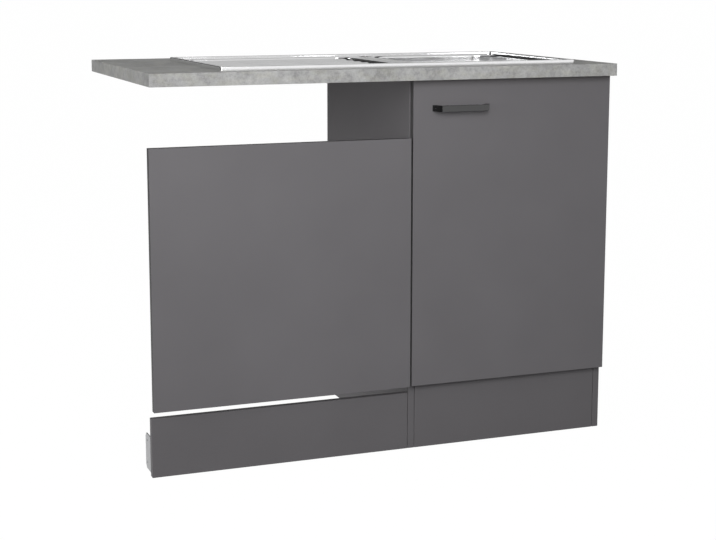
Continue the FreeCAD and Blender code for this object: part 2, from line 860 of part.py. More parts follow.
def board_bores(board_name):
    """Holes in the two ends of a cross board, with the pockets for its cams."""
    bores = []
    for face, inward in ((x_inner_left, X), (x_inner_right, -X)):
        for name, y, z, kind, way in joint_table():
            if name != board_name:
                continue
            start = vec(face, y, z)
            if kind == "dowel":
                depth = dowel_length - dowel_side_depth + bore_clearance
                bores.append(rod(dowel_radius + bore_clearance, start, inward, depth))
            else:
                bores.append(rod(bolt_shank + bore_clearance, start, inward, cam_setback))
                bores.append(rod(cam_radius + bore_clearance, cam_start(face, inward, y, z, way), way,
                                 cam_thickness + bore_clearance))
    return bores


def carcass_dowels():
    dowels = []
    for face, inward in ((x_inner_left, X), (x_inner_right, -X)):
        for name, y, z, kind, way in joint_table():
            if kind == "dowel":
                start = vec(face, y, z) - inward * dowel_side_depth
                dowels.append(rod(dowel_radius, start, inward, dowel_length))
    return group(dowels)


def cam_bolts():
    bolts = []
    for face, inward in ((x_inner_left, X), (x_inner_right, -X)):
        for name, y, z, kind, way in joint_table():
            if kind == "cam":
                start = vec(face, y, z)
                bolt = rod(bolt_thread, start - inward * bolt_side_depth, inward,
                           bolt_side_depth + bolt_shank)
                bolt = bolt.fuse(rod(bolt_neck, start, inward, cam_setback))
                head = rod(bolt_shank - bore_clearance, start + inward * (cam_setback - bolt_neck), inward,
                           bolt_neck)
                bolts.append(bolt.fuse(head))
    return group(bolts)


def cam_locks():
    cams = []
    for face, inward in ((x_inner_left, X), (x_inner_right, -X)):
        for name, y, z, kind, way in joint_table():
            if kind == "cam":
                start = cam_start(face, inward, y, z, way)
                cam = rod(cam_radius, start, way, cam_thickness)
                mouth = vec(face, y, z) + inward * (cam_setback - cam_radius - 1)
                cam = cam.cut(rod(bolt_shank + bore_clearance, mouth, inward, cam_radius + 2))
                slot = block(-cam_radius, cam_radius, -cam_slot / 2, cam_slot / 2, -1, cam_slot)
                slot.Placement = FreeCAD.Placement(start, FreeCAD.Rotation(Z, way))
                cams.append(cam.cut(slot))
    return group(cams)


# ---------------------------------------------------------------- carcass boards
def side_board(x0, face, inward):
    side = soften(block(x0, x0 + board, y_front, y_back, 0, body_height), board_round)
    side = cut_all(side, side_bores(face, inward))
    reach = []
    for seat, axis, length in angle_screws() + bracket_screws() + plate_screws():
        tip = seat + axis * length
        if abs(axis.x) > 0.5 and x0 < tip.x < x0 + board:
            reach.append(screw_bore(seat, axis, length))
    return cut_all(side, reach)


def bottom_board():
    panel = block(x_inner_left, x_inner_right, y_front, y_back, plinth_height, plinth_height + board)
    return cut_all(panel, board_bores("bottom"))


def front_rail():
    rail = block(x_inner_left, x_inner_right, y_front, y_front + board,
                 body_height - front_rail_height, body_height)
    return cut_all(rail, board_bores("front"))


def back_rail_upper():
    rail = block(x_inner_left, x_inner_right, y_back - board, y_back,
                 body_height - back_rail_height, body_height)
    rail = cut_all(rail, board_bores("upper"))
    return cut_all(rail, [screw_bore(p, a, n) for p, a, n in angle_screws() if a.y > 0.5])


def back_rail_lower():
    z0 = plinth_height + board
    rail = block(x_inner_left, x_inner_right, y_back - board, y_back, z0, z0 + lower_rail_height)
    return cut_all(rail, board_bores("lower"))


# ---------------------------------------------------------------- small angles and brackets
def angle_places():
    """Corner, board direction and run direction of the angles under the worktop."""
    y = y_back - 2 * small_bracket_leg
    return [(vec(x_inner_left, y, body_height), -X), (vec(x_inner_right, y, body_height), X),
            (vec(x_inner_right, y_front + system_setback + small_bracket_leg, body_height), X),
            (vec(bowl_x, y_back - board, body_height), Y)]


def worktop_angle(corner, to_board):
    """A steel angle in the corner between a board and the worktop."""
    side = Z.cross(to_board)
    half = small_bracket_width / 2
    upright = prism([corner + side * half, corner - side * half,
                     corner - side * half - Z * small_bracket_leg,
                     corner + side * half - Z * small_bracket_leg], -to_board * bracket_sheet)
    flat = prism([corner + side * half, corner - side * half,
                  corner - side * half - to_board * small_bracket_leg,
                  corner + side * half - to_board * small_bracket_leg], -Z * bracket_sheet)
    angle = upright.fuse(flat).removeSplitter()
    middle = (small_bracket_leg + bracket_sheet) / 2
    low = corner - Z * middle
    out = corner - to_board * middle
    holes = [rod(bracket_hole_radius, low - to_board * 2 * bracket_sheet, to_board, 3 * bracket_sheet),
             rod(bracket_hole_radius, out - Z * 2 * bracket_sheet, Z, 3 * bracket_sheet)]
    return cut_all(angle, holes)


def worktop_angles():
    return group([worktop_angle(corner, to_board) for corner, to_board in angle_places()])


def angle_screws():
    """Screws of the worktop angles: head seat, direction and length."""
    middle = (small_bracket_leg + bracket_sheet) / 2
    screws = []
    for corner, to_board in angle_places():
        screws.append((corner - Z * middle - to_board * bracket_sheet, to_board, wood_screw_length))
        screws.append((corner - to_board * middle - Z * bracket_sheet, Z, wood_screw_length))
    return screws


def corner_bracket(corner, out, sizes):
    """An L bracket behind a plinth: its leg runs back, its foot lies on the plinth."""
    leg, foot, height, rise, spacing, leg_hole, foot_hole = sizes
    chamfer = bracket_chamfer
    base = corner + Z * rise
    flange = prism([base, base + Y * (leg - chamfer), base + Y * leg + Z * chamfer,
                    base + Y * leg + Z * (height - chamfer),
                    base + Y * (leg - chamfer) + Z * height, base + Z * height],
                   -out * bracket_sheet)
    web = prism([base, base - out * (foot - chamfer), base - out * foot + Z * chamfer,
                 base - out * foot + Z * (height - chamfer),
                 base - out * (foot - chamfer) + Z * height, base + Z * height],
                Y * bracket_sheet)
    bracket = flange.fuse(web).removeSplitter()
    holes = []
    for z in (height / 2 - spacing / 2, height / 2 + spacing / 2):
        at_leg = base + Z * z + Y * leg_hole - out * 2 * bracket_sheet
        at_foot = base + Z * z - out * foot_hole - Y * bracket_sheet
        holes.append(rod(bracket_hole_radius, at_leg, out, 4 * bracket_sheet))
        holes.append(rod(bracket_hole_radius, at_foot, Y, 3 * bracket_sheet))
    return cut_all(bracket, holes)


def bracket_table():
    """Every plinth bracket by node: corner, outward way, sizes, and whether a side holds its leg."""
    y = y_front + board
    large = (plinth_bracket_leg, plinth_bracket_foot, plinth_bracket_height, plinth_bracket_rise,
             plinth_hole_spacing, plinth_leg_hole, plinth_foot_hole)
    small = (small_bracket_leg, small_bracket_leg, small_bracket_height, small_bracket_rise,
             small_bracket_leg, small_bracket_hole, small_bracket_hole)
    return {"plinth_end_bracket": [(vec(x_left, y, 0), -X, large, False)],
            "plinth_joint_bracket": [(vec(x_cabinet, y, 0), X, large, True)],
            "cabinet_plinth_brackets": [(vec(x_inner_left, y, 0), -X, small, True),
                                        (vec(x_inner_right, y, 0), X, small, True)]}


def bracket_screws():
    """Screws of the plinth brackets: head seat, direction and length."""
    screws = []
    for places in bracket_table().values():
        for corner, out, sizes, into_side in places:
            leg, foot, height, rise, spacing, leg_hole, foot_hole = sizes
            for z in (rise + height / 2 - spacing / 2, rise + height / 2 + spacing / 2):
                seat = corner + Z * z + Y * bracket_sheet - out * foot_hole
                screws.append((seat, -Y, wood_screw_length))
                if into_side:
                    seat = corner + Z * z + Y * leg_hole - out * bracket_sheet
                    screws.append((seat, out, wood_screw_length))
    return screws


def screws_node(screws):
    return group([wood_screw(seat, axis, length) for seat, axis, length in screws])


# ---------------------------------------------------------------- plinths
def plinth_board(x0, x1, height):
    plinth = soften(block(x0, x1, y_front, y_front + board, 0, height), board_round)
    reach = [s for s in bracket_screws() if s[1].y < -0.5 and x0 < s[0].x < x1]
    return cut_all(plinth, [screw_bore(p, a, n) for p, a, n in reach])


# ---------------------------------------------------------------- door
def hinge_z_pair(spacing):
    """Two heights on each hinge, spacing apart."""
    return [z + side * spacing for z in hinge_heights for side in (-0.5, 0.5)]


def door_panel():
    door = soften(block(door_left, door_right, door_front, door_back, door_bottom, door_top),
                  board_round)
    tools = []
    for z in hinge_heights:
        tools.append(rod(cup_radius + bore_clearance, vec(cup_x, door_back + 1, z), -Y,
                         cup_bore_depth + 1 + bore_clearance))
    tools += [screw_bore(p, a, n) for p, a, n in cup_screws()]
    for x in handle_screw_places():
        tools.append(rod(handle_screw_radius + bore_clearance, vec(x, door_back + 1, handle_z), -Y,
                         front_board + 2))
        tools.append(rod(screw_head_radius + 2 * bore_clearance, vec(x, door_back + 1, handle_z), -Y,
                         screw_head_height + 1 + bore_clearance))
    return cut_all(door, tools)


def door_bumpers():
    """Soft pads on the door's back that meet the cabinet's side."""
    pads = []
    for z in (door_bottom + bumper_inset, door_top - bumper_inset):
        pads.append(rod(bumper_radius, vec(x_cabinet + board / 2 + side_reveal / 2, door_back, z), Y,
                        door_gap - bumper_clearance))
    return group(pads)


def handle_screw_places():
    return [handle_x - handle_hole_spacing / 2, handle_x + handle_hole_spacing / 2]


def handle():
    """The black bow handle: a flat band on two slanted legs."""
    half = handle_length / 2
    y0 = door_front
    y1 = door_front - handle_reach
    foot = 2 * (half - handle_hole_spacing / 2)
    outer = half - handle_slant
    inner = outer - handle_band
    points = [vec(-half, y0, 0), vec(-outer, y1, 0), vec(outer, y1, 0), vec(half, y0, 0),
              vec(half - foot, y0, 0), vec(inner, y1 + handle_band, 0),
              vec(-inner, y1 + handle_band, 0), vec(-half + foot, y0, 0)]
    bow = prism([p + vec(handle_x, 0, handle_z - handle_height / 2) for p in points], Z * handle_height)
    front = [e for e in bow.Edges if e.BoundBox.YMax < y1 + 0.01]
    bow = bow.makeFillet(handle_round, front)
    holes = []
    for x in handle_screw_places():
        holes.append(rod(handle_screw_radius + bore_clearance, vec(x, y0 + 1, handle_z), -Y,
                         handle_screw_bite + 1))
    return cut_all(bow, holes)


def handle_screws():
    screws = []
    for x in handle_screw_places():
        top = vec(x, door_back, handle_z)
        head = rod(screw_head_radius, top, -Y, screw_head_height)
        shank = rod(handle_screw_radius, top, -Y, front_board + handle_screw_bite - 1)
        screws.append(head.fuse(shank))
    return group(screws)


# ---------------------------------------------------------------- hinges
def hinge_cup(z):
    """The steel cup let into the door, with its two screw ears."""
    centre = vec(cup_x, door_back, z)
    cup = rod(cup_radius, centre - Y * cup_bore_depth, Y, cup_bore_depth)
    ears = block(cup_x - ear_half - ear_offset, cup_x + ear_half - ear_offset, door_back,
                 door_back + cup_wall, z - ear_reach, z + ear_reach)
    lip = rod(cup_radius + cup_wall, centre, Y, cup_wall)
    cup = fused([cup, ears, lip])
    hollow = rod(cup_radius - cup_wall, centre - Y * (cup_bore_depth - cup_wall), Y,
                 cup_bore_depth + cup_wall)
    bridge = block(cup_pin_x - cup_lug_half, cup_pin_x + cup_lug_half, cup_pin_y - cup_lug_half,
                   door_back, z - cup_radius, z + cup_radius)
    between = block(cup_pin_x - cup_radius, cup_pin_x + cup_radius, door_back - cup_bore_depth,
                    door_back + 1, z - cup_lug_start, z + cup_lug_start)
    hollow = hollow.cut(bridge.cut(between))
    pin_hole = rod(pin_radius + bore_clearance, vec(cup_pin_x, cup_pin_y, z - cup_pin_half - 1), Z,
                   2 * cup_pin_half + 2)
    screws = [screw_bore(p, a, n) for p, a, n in cup_screws()]
    return cut_all(cup, [hollow, pin_hole] + screws)


def cup_screws():
    """Two screws through each cup's ears: head seat, direction and length."""
    seat = door_back + cup_wall
    x = cup_x - ear_offset
    return [(vec(x, seat, z), -Y, cup_screw_length) for z in hinge_z_pair(ear_spacing)]


def hinge_arm(z):
    """The channel arm: a web with two cheeks that carry the link's pin."""
    half = arm_width / 2
    x0 = arm_web_x
    web = block(x0, x0 + arm_sheet, y_front + arm_web_start, arm_end_y, z - half, z + half)
    cheeks = []
    for z0 in (z - half, z + half - arm_sheet):
        cheek = block(x0, arm_cheek_x, arm_nose_y, arm_end_y, z0, z0 + arm_sheet)
        nose = rod(arm_nose_radius, vec(arm_pin_x, arm_pin_y, z0), Z, arm_sheet)
        neck = prism([vec(arm_pin_x - arm_nose_radius, arm_pin_y, z0),
                      vec(arm_pin_x + arm_nose_radius, arm_pin_y, z0),
                      vec(arm_cheek_x, arm_nose_y, z0), vec(x0, arm_nose_y, z0)], Z * arm_sheet)
        cheeks += [cheek, nose, neck]
    arm = fused([web] + cheeks)
    pin_hole = rod(pin_radius + bore_clearance, vec(arm_pin_x, arm_pin_y, z - arm_width), Z,
                   2 * arm_width)
    screw_hole_cut = rod(clamp_screw_radius + bore_clearance, vec(x0 - 1, arm_screw_y, z), X,
                         3 * arm_sheet)
    return cut_all(arm, [pin_hole, screw_hole_cut])


def hinge_link(z):
    """The link: an eye on the cup's pin and an open fork round the arm's pin."""
    away = vec(arm_pin_x - cup_pin_x, arm_pin_y - cup_pin_y, 0)
    angle = math.degrees(math.atan2(away.y, away.x))
    base = vec(0, 0, -link_width / 2)
    bar = block(0, link_reach, -link_half, link_half, -link_width / 2, link_width / 2)
    eye = rod(link_half, base, Z, link_width)
    fork = block(link_fork_start, link_reach, -link_half - link_fork_wall, link_half + link_fork_wall,
                 -link_width / 2, link_width / 2)
    link = fused([bar, eye, fork])
    slot = block(link_fork_start + link_fork_wall, link_reach + 1, -link_slot / 2, link_slot / 2,
                 -link_width, link_width)
    hole = rod(pin_radius + pin_running, vec(0, 0, -link_width), Z, 2 * link_width)
    link = link.cut(slot).cut(hole)
    link.rotate(vec(0, 0, 0), Z, angle)
    link.translate(vec(cup_pin_x, cup_pin_y, z))
    return link


def hinge_plate(z):
    """The mounting plate on the cabinet's side, with the ridge that the arm clamps on."""
    y_holes = y_front + system_setback
    base = block(x_inner_right - bracket_sheet, x_inner_right, y_holes - plate_half, y_holes + plate_half,
                 z - ear_reach, z + ear_reach)
    inner = arm_width / 2 - arm_sheet - slip
    ridge = block(arm_web_x + arm_sheet, x_inner_right, y_holes - plate_half,
                  arm_end_y - arm_sheet, z - inner, z + inner)
    plate = base.fuse(ridge).removeSplitter()
    tools = [screw_bore(p, a, n) for p, a, n in plate_screws()]
    tools.append(rod(clamp_screw_radius + bore_clearance, vec(arm_web_x, arm_screw_y, z), X,
                     x_inner_right - arm_web_x - arm_sheet))
    return cut_all(plate, tools)


def plate_screws():
    """Two screws through each mounting plate: head seat, direction and length."""
    x = x_inner_right - bracket_sheet
    y = y_front + system_setback
    return [(vec(x, y, z), X, wood_screw_length) for z in hinge_z_pair(system_spacing)]


def arm_screw(z):
    """The machine screw that clamps an arm to its plate."""
    seat = vec(arm_web_x, arm_screw_y, z)
    head = rod(screw_head_radius, seat - X * screw_head_height, X, screw_head_height)
    reach = x_inner_right - bracket_sheet - arm_web_x
    return head.fuse(rod(clamp_screw_radius, seat, X, reach))


def hinge_pins(x, y, half):
    """One upright pin for each hinge."""
    return group([rod(pin_radius, vec(x, y, z - half), Z, 2 * half) for z in hinge_heights])


# ---------------------------------------------------------------- dishwasher front
def dishwasher_front():
    return soften(block(x_left + side_reveal, x_cabinet - side_reveal, door_front, door_back,
                        dishwasher_front_bottom, dishwasher_front_bottom + dishwasher_front_height),
                  board_round)


# ---------------------------------------------------------------- everything
def nodes():
    """Every node's name and shape."""
    made = {}
    made["worktop_core"] = worktop_core()
    made["worktop_laminate"] = worktop_laminate()
    made["worktop_front_edging"] = worktop_front_edging()
    made["worktop_left_edging"] = worktop_end_edging(x_left, x_left)
    made["worktop_right_edging"] = worktop_end_edging(x_right - edge_band, x_right)
    skin = sink_sheet()
    made["sink_deck"] = sink_part(skin, bowl_seam, rim_top + sheet)
    made["sink_bowl"] = sink_part(skin, bowl_under - sheet, bowl_seam)
    made["sink_seal"] = sink_seal()
    made["sink_clips"] = sink_clips()
    made["sink_clip_screws"] = sink_clip_screws()
    made["waste_cup"] = waste_cup()
    made["waste_screw"] = waste_screw()
    made["waste_gasket"] = waste_gasket()
    made["waste_body"] = waste_body()
    made["waste_basket"] = waste_basket()
    made["basket_stopper"] = basket_stopper()
    made["basket_knob"] = basket_knob()
    made["overflow_rosette"] = overflow_rosette()
    made["overflow_housing"] = overflow_housing()
    made["overflow_pipe"] = overflow_pipe()
    made["trap_tailpiece"] = trap_tailpiece()
    made["trap_bend"] = trap_bend()
    made["trap_arm"] = trap_arm()
    made["trap_nuts"] = trap_nuts()
    made["side_left"] = side_board(x_cabinet, x_inner_left, X)
    made["side_right"] = side_board(x_inner_right, x_inner_right, -X)
    made["bottom_board"] = bottom_board()
    made["front_rail"] = front_rail()
    made["back_rail_upper"] = back_rail_upper()
    made["back_rail_lower"] = back_rail_lower()
    made["carcass_dowels"] = carcass_dowels()
    made["cam_bolts"] = cam_bolts()
    made["cam_locks"] = cam_locks()
    made["worktop_angles"] = worktop_angles()
    made["worktop_angle_screws"] = screws_node(angle_screws())
    made["cabinet_plinth"] = plinth_board(x_inner_left + plinth_clearance,
                                          x_inner_right - plinth_clearance, plinth_height)
    made["dishwasher_plinth"] = plinth_board(x_left, x_cabinet - plinth_clearance,
                                             dishwasher_plinth_height)
    for name, places in bracket_table().items():
        made[name] = group([corner_bracket(corner, out, sizes) for corner, out, sizes, held in places])
    made["plinth_bracket_screws"] = screws_node(bracket_screws())
    made["door_panel"] = door_panel()
    made["door_bumpers"] = door_bumpers()
    made["handle"] = handle()
    made["handle_screws"] = handle_screws()
    made["hinge_cups"] = group([hinge_cup(z) for z in hinge_heights])
    made["hinge_cup_screws"] = screws_node(cup_screws())
    made["hinge_cup_pins"] = hinge_pins(cup_pin_x, cup_pin_y, cup_pin_half)
    made["hinge_links"] = group([hinge_link(z) for z in hinge_heights])
    made["hinge_arms"] = group([hinge_arm(z) for z in hinge_heights])
    made["hinge_arm_pins"] = hinge_pins(arm_pin_x, arm_pin_y, arm_width / 2)
    made["hinge_plates"] = group([hinge_plate(z) for z in hinge_heights])
    made["hinge_plate_screws"] = screws_node(plate_screws())
    made["hinge_arm_screws"] = group([arm_screw(z) for z in hinge_heights])
    made["dishwasher_front"] = dishwasher_front()
    return made


def main():
    os.makedirs("parts", exist_ok=True)
    for node, shape in nodes().items():
        save(node, shape)


main()
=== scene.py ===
# %% [markdown]
# # A kitchen sink unit, dressed for its photograph
#
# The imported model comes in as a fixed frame, in metres, with the floor at z = 0 and the
# fronts facing -Y. Everything below works out its places from that frame. The cells set up
# the camera and the light, make the materials, build the pieces that need more than the
# frame gives, and write down the sizes.

# %% Load the frame
import bmesh
import bpy
import json
import math
from mathutils import Matrix, Vector


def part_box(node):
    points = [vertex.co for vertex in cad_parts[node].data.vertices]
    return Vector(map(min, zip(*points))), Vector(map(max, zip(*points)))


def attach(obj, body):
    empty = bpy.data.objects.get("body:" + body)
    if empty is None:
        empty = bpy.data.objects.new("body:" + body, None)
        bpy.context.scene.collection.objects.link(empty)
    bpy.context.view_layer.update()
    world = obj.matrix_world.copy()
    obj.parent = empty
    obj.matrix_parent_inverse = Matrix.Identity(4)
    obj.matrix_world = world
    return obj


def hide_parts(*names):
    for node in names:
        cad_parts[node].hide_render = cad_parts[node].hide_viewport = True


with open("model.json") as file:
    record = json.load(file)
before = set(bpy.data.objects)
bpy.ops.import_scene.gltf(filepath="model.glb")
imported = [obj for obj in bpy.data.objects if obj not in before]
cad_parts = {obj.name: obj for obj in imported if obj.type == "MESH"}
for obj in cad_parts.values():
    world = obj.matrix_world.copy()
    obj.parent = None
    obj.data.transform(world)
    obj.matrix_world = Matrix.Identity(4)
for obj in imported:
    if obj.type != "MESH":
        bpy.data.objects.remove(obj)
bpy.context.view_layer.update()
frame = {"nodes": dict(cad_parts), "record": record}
nodes = frame["nodes"]
MM = 0.001

# %% [markdown]
# ## Camera
#
# The photograph's uprights stay parallel, because its picture was shifted. Every other view
# keeps this camera's shift, so the shift here is small and the camera looks down a little
# instead. Its place, turn and lens bring the unit's corners as near as they can come to
# where the photograph has them.

# %% Camera
PICTURE_WIDTH = 716
SENSOR = 36.0
FOCAL_PIXELS = 1511.7
AXIS_U = 353.9
SHIFT_DOWN = 0.06
CAMERA_PLACE = (-1.2633, -3.3556, 1.0677)
CAMERA_PITCH = math.radians(9.276)
CAMERA_TURN = math.radians(-20.843)


def photograph_camera():
    """A camera at the photograph's angle, with its frame shifted down a little."""
    data = bpy.data.cameras.new("camera")
    data.sensor_width = SENSOR
    data.lens = FOCAL_PIXELS * SENSOR / PICTURE_WIDTH
    data.shift_x = (PICTURE_WIDTH / 2 - AXIS_U) / PICTURE_WIDTH
    data.shift_y = -SHIFT_DOWN
    camera = bpy.data.objects.new("camera", data)
    camera.location = CAMERA_PLACE
    camera.rotation_euler = (math.pi / 2 - CAMERA_PITCH, 0, CAMERA_TURN)
    bpy.context.scene.collection.objects.link(camera)
    bpy.context.scene.camera = camera
    return camera


camera = photograph_camera()
print("camera: lens %.1f mm," % camera.data.lens,
      "shift %.4f %.4f" % (camera.data.shift_x, camera.data.shift_y))

# %% [markdown]
# ## Studio
#
# A white floor, two large soft lamps, in front and on the left, a weak one overhead, and a
# pale room. To the camera the room is plain white. Steel mirrors its surroundings, so for
# reflections the room has what a studio has: white in front, a black flag on the left, which
# darkens the floor there too, and a darker wall behind the object. The dark parts draw the
# lines along the sink's folds and corners, which steel in an all-white room would lose.

# %% Studio
ROOM_LIGHT = 0.34
ROOM_BEHIND = 0.05
ROOM_LEFT = 0.06
ROOM_OVERHEAD = 0.80
ROOM_FRONT = 1.12
FLOOR_SIZE = 240.0
FLOOR_GREY = 0.12
FLOOR_WHITE = 1.08
FLOOR_GLOW = 0.92
FLAG_END, FLAG_START = -3.0, -1.0

# For each zone of the mirrored room: the axis of the direction, where along it the zone
# begins and ends, and the zone's value before and after.
ROOM_ZONES = {
    "behind": ("Y", -0.1, 0.35, 0.0, 1.0),
    "raised": ("Z", 0.01, 0.13, 0.0, 1.0),
    "below_top": ("Z", 0.55, 0.9, 1.0, 0.0),
    "ceiling": ("Z", 0.4, 0.95, 1.0, ROOM_OVERHEAD),
    "left": ("X", -0.45, -0.12, 1.0, 0.0),
    "beside": ("Y", 0.35, 0.6, 1.0, 0.0),
    "low": ("Z", 0.5, 0.8, 1.0, 0.0),
    "front": ("Y", -0.7, -0.3, ROOM_FRONT, 1.0),
}

# For each lamp: place, target, size in metres, watts, and whether steel mirrors it.
LAMPS = {
    "key": ((-0.5, -2.4, 1.5), (0.0, -0.2, 0.85), 1.3, 46, True),
    "top": ((-0.2, 0.2, 2.6), (-0.1, 0.1, 0.9), 1.2, 9, False),
    "side": ((-3.0, -0.8, 1.3), (0, 0, 0.6), 1.6, 46, False),
}


def add_node(owner, kind, **values):
    """A new node in a material or world, with its named properties set."""
    node = owner.node_tree.nodes.new(kind)
    for name, value in values.items():
        setattr(node, name, value)
    return node


def wire(owner, start, end):
    owner.node_tree.links.new(start, end)


def remap(owner, value, low, high, start, end):
    """Spreads a value from low..high over start..end, with soft ends."""
    node = add_node(owner, "ShaderNodeMapRange", interpolation_type="SMOOTHSTEP")
    for name, number in (("From Min", low), ("From Max", high), ("To Min", start), ("To Max", end)):
        node.inputs[name].default_value = number
    wire(owner, value, node.inputs["Value"])
    return node.outputs[0]


def combine(owner, operation, first, second):
    """Two values through one sum, product or comparison."""
    node = add_node(owner, "ShaderNodeMath", operation=operation)
    for socket, value in zip(node.inputs, (first, second)):
        if isinstance(value, float):
            socket.default_value = value
        else:
            wire(owner, value, socket)
    return node.outputs[0]


def product(owner, first, *others):
    """Several values multiplied together."""
    for other in others:
        first = combine(owner, "MULTIPLY", first, other)
    return first


def seen_straight(owner, path):
    """One for what the camera sees itself, also through glass, and nought for the rest."""
    return combine(owner, "MAXIMUM", path.outputs["Is Camera Ray"],
                   path.outputs["Is Transmission Ray"])


def mirrored_room(world):
    """How bright the room is in each direction when steel mirrors it."""
    place = add_node(world, "ShaderNodeTexCoord")
    split = add_node(world, "ShaderNodeSeparateXYZ")
    wire(world, place.outputs["Generated"], split.inputs[0])
    zone = {name: remap(world, split.outputs[axis], *numbers)
            for name, (axis, *numbers) in ROOM_ZONES.items()}
    wall = product(world, zone["behind"], zone["raised"], zone["below_top"])
    flag = product(world, zone["left"], zone["beside"], zone["low"])
    darkened = remap(world, wall, 0.0, 1.0, 1.0, ROOM_BEHIND)
    flagged = remap(world, flag, 0.0, 1.0, 1.0, ROOM_LEFT)
    return product(world, zone["ceiling"], darkened, flagged, zone["front"])


def studio_room():
    """White to the camera, a studio to steel, and an even grey light to all else."""
    world = bpy.data.worlds.new("studio_room")
    world.use_nodes = True
    world.node_tree.nodes.clear()
    lit = add_node(world, "ShaderNodeBackground")
    lit.inputs["Strength"].default_value = ROOM_LIGHT
    mirrored = add_node(world, "ShaderNodeBackground")
    wire(world, mirrored_room(world), mirrored.inputs["Strength"])
    white = add_node(world, "ShaderNodeBackground")
    path = add_node(world, "ShaderNodeLightPath")
    gloss = add_node(world, "ShaderNodeMixShader")
    wire(world, path.outputs["Is Glossy Ray"], gloss.inputs["Fac"])
    wire(world, lit.outputs[0], gloss.inputs[1])
    wire(world, mirrored.outputs[0], gloss.inputs[2])
    seen = add_node(world, "ShaderNodeMixShader")
    wire(world, seen_straight(world, path), seen.inputs["Fac"])
    wire(world, gloss.outputs[0], seen.inputs[1])
    wire(world, white.outputs[0], seen.inputs[2])
    out = add_node(world, "ShaderNodeOutputWorld")
    wire(world, seen.outputs[0], out.inputs["Surface"])
    bpy.context.scene.world = world


def studio_floor():
    """A floor that is white to the camera and keeps a soft shadow."""
    mesh = bpy.data.meshes.new("studio_floor")
    half = FLOOR_SIZE / 2
    mesh.from_pydata([(-half, -half, 0), (half, -half, 0), (half, half, 0), (-half, half, 0)],
                     [], [(0, 1, 2, 3)])
    floor = bpy.data.objects.new("studio_floor", mesh)
    bpy.context.scene.collection.objects.link(floor)
    material = bpy.data.materials.new("studio_floor")
    material.use_nodes = True
    material.node_tree.nodes.clear()
    matt = add_node(material, "ShaderNodeBsdfDiffuse")
    matt.inputs["Color"].default_value = (FLOOR_GREY, FLOOR_GREY, FLOOR_GREY, 1)
    glow = add_node(material, "ShaderNodeEmission")
    glow.inputs["Strength"].default_value = FLOOR_WHITE
    mix = add_node(material, "ShaderNodeMixShader")
    path = add_node(material, "ShaderNodeLightPath")
    place = add_node(material, "ShaderNodeTexCoord")
    split = add_node(material, "ShaderNodeSeparateXYZ")
    wire(material, place.outputs["Object"], split.inputs[0])
    unflagged = remap(material, split.outputs["X"], FLAG_END, FLAG_START, ROOM_LEFT, 1.0)
    mirrored = product(material, path.outputs["Is Glossy Ray"], unflagged)
    seen = combine(material, "MAXIMUM", seen_straight(material, path), mirrored)
    wire(material, product(material, seen, FLOOR_GLOW), mix.inputs["Fac"])
    wire(material, matt.outputs[0], mix.inputs[1])
    wire(material, glow.outputs[0], mix.inputs[2])
    out = add_node(material, "ShaderNodeOutputMaterial")
    wire(material, mix.outputs[0], out.inputs["Surface"])
    floor.data.materials.append(material)


def soft_lamp(name, place, target, size, watts, mirrored):
    """A large square lamp that looks at a target, and shows in steel or not."""
    data = bpy.data.lights.new(name, "AREA")
    data.shape = "SQUARE"
    data.size = size
    data.energy = watts
    lamp = bpy.data.objects.new(name, data)
    lamp.location = place
    aim = Vector(target) - Vector(place)
    lamp.rotation_euler = aim.to_track_quat("-Z", "Y").to_euler()
    lamp.visible_glossy = mirrored
    bpy.context.scene.collection.objects.link(lamp)


bpy.context.scene.view_settings.view_transform = "Standard"
studio_room()
studio_floor()
for name, values in LAMPS.items():
    soft_lamp(name, *values)
print("studio: room, floor and", len(LAMPS), "lamps")

# %% [markdown]
# ## Materials
#
# Each material is a short function. Patterns are worked out on object coordinates, which
# are the frame's own metres, so their scale is real and no map is needed.

# %% Material helpers
BOARD_SHEEN = 0.3


def new_material(name, colour, roughness, metallic=0.0):
    """A plain material, and its shader to add to."""
    material = bpy.data.materials.new(name)
    material.use_nodes = True
    shader = material.node_tree.nodes["Principled BSDF"]
    shader.inputs["Base Color"].default_value = (*colour, 1)
    shader.inputs["Roughness"].default_value = roughness
    shader.inputs["Metallic"].default_value = metallic
    return material, shader


def metres(material, stretch=(1, 1, 1)):
    """Object coordinates in metres, stretched along the axes."""
    place = add_node(material, "ShaderNodeTexCoord")
    mapping = add_node(material, "ShaderNodeMapping")
    mapping.inputs["Scale"].default_value = stretch
    wire(material, place.outputs["Object"], mapping.inputs["Vector"])
    return mapping.outputs["Vector"]


def noise(material, place, size, detail=3.0, roughness=0.5):
    """Noise whose blotches are about size metres across."""
    node = add_node(material, "ShaderNodeTexNoise")
    node.inputs["Scale"].default_value = 1 / size
    node.inputs["Detail"].default_value = detail
    node.inputs["Roughness"].default_value = roughness
    wire(material, place, node.inputs["Vector"])
    return node.outputs["Fac"]


def ramp(material, value, stops):
    """Colours, or greys, along a value."""
    node = add_node(material, "ShaderNodeValToRGB")
    elements = node.color_ramp.elements
    while len(elements) < len(stops):
        elements.new(0.5)
    for element, (place, colour) in zip(elements, stops):
        element.position = place
        element.color = (*colour, 1) if isinstance(colour, tuple) else (colour, colour, colour, 1)
    wire(material, value, node.inputs["Fac"])
    return node.outputs["Color"]


def blend_colours(material, kind, share, first, second):
    """Two colour sockets, or a socket and a plain colour, put together."""
    node = add_node(material, "ShaderNodeMix", data_type="RGBA", blend_type=kind)
    # The node has inputs A and B for each kind of data; 6 and 7 are the two for colour.
    for socket, value in ((node.inputs["Factor"], share), (node.inputs[6], first),
                          (node.inputs[7], second)):
        if isinstance(value, float):
            socket.default_value = value
        elif isinstance(value, tuple):
            socket.default_value = (*value, 1)
        else:
            wire(material, value, socket)
    return node.outputs[2]


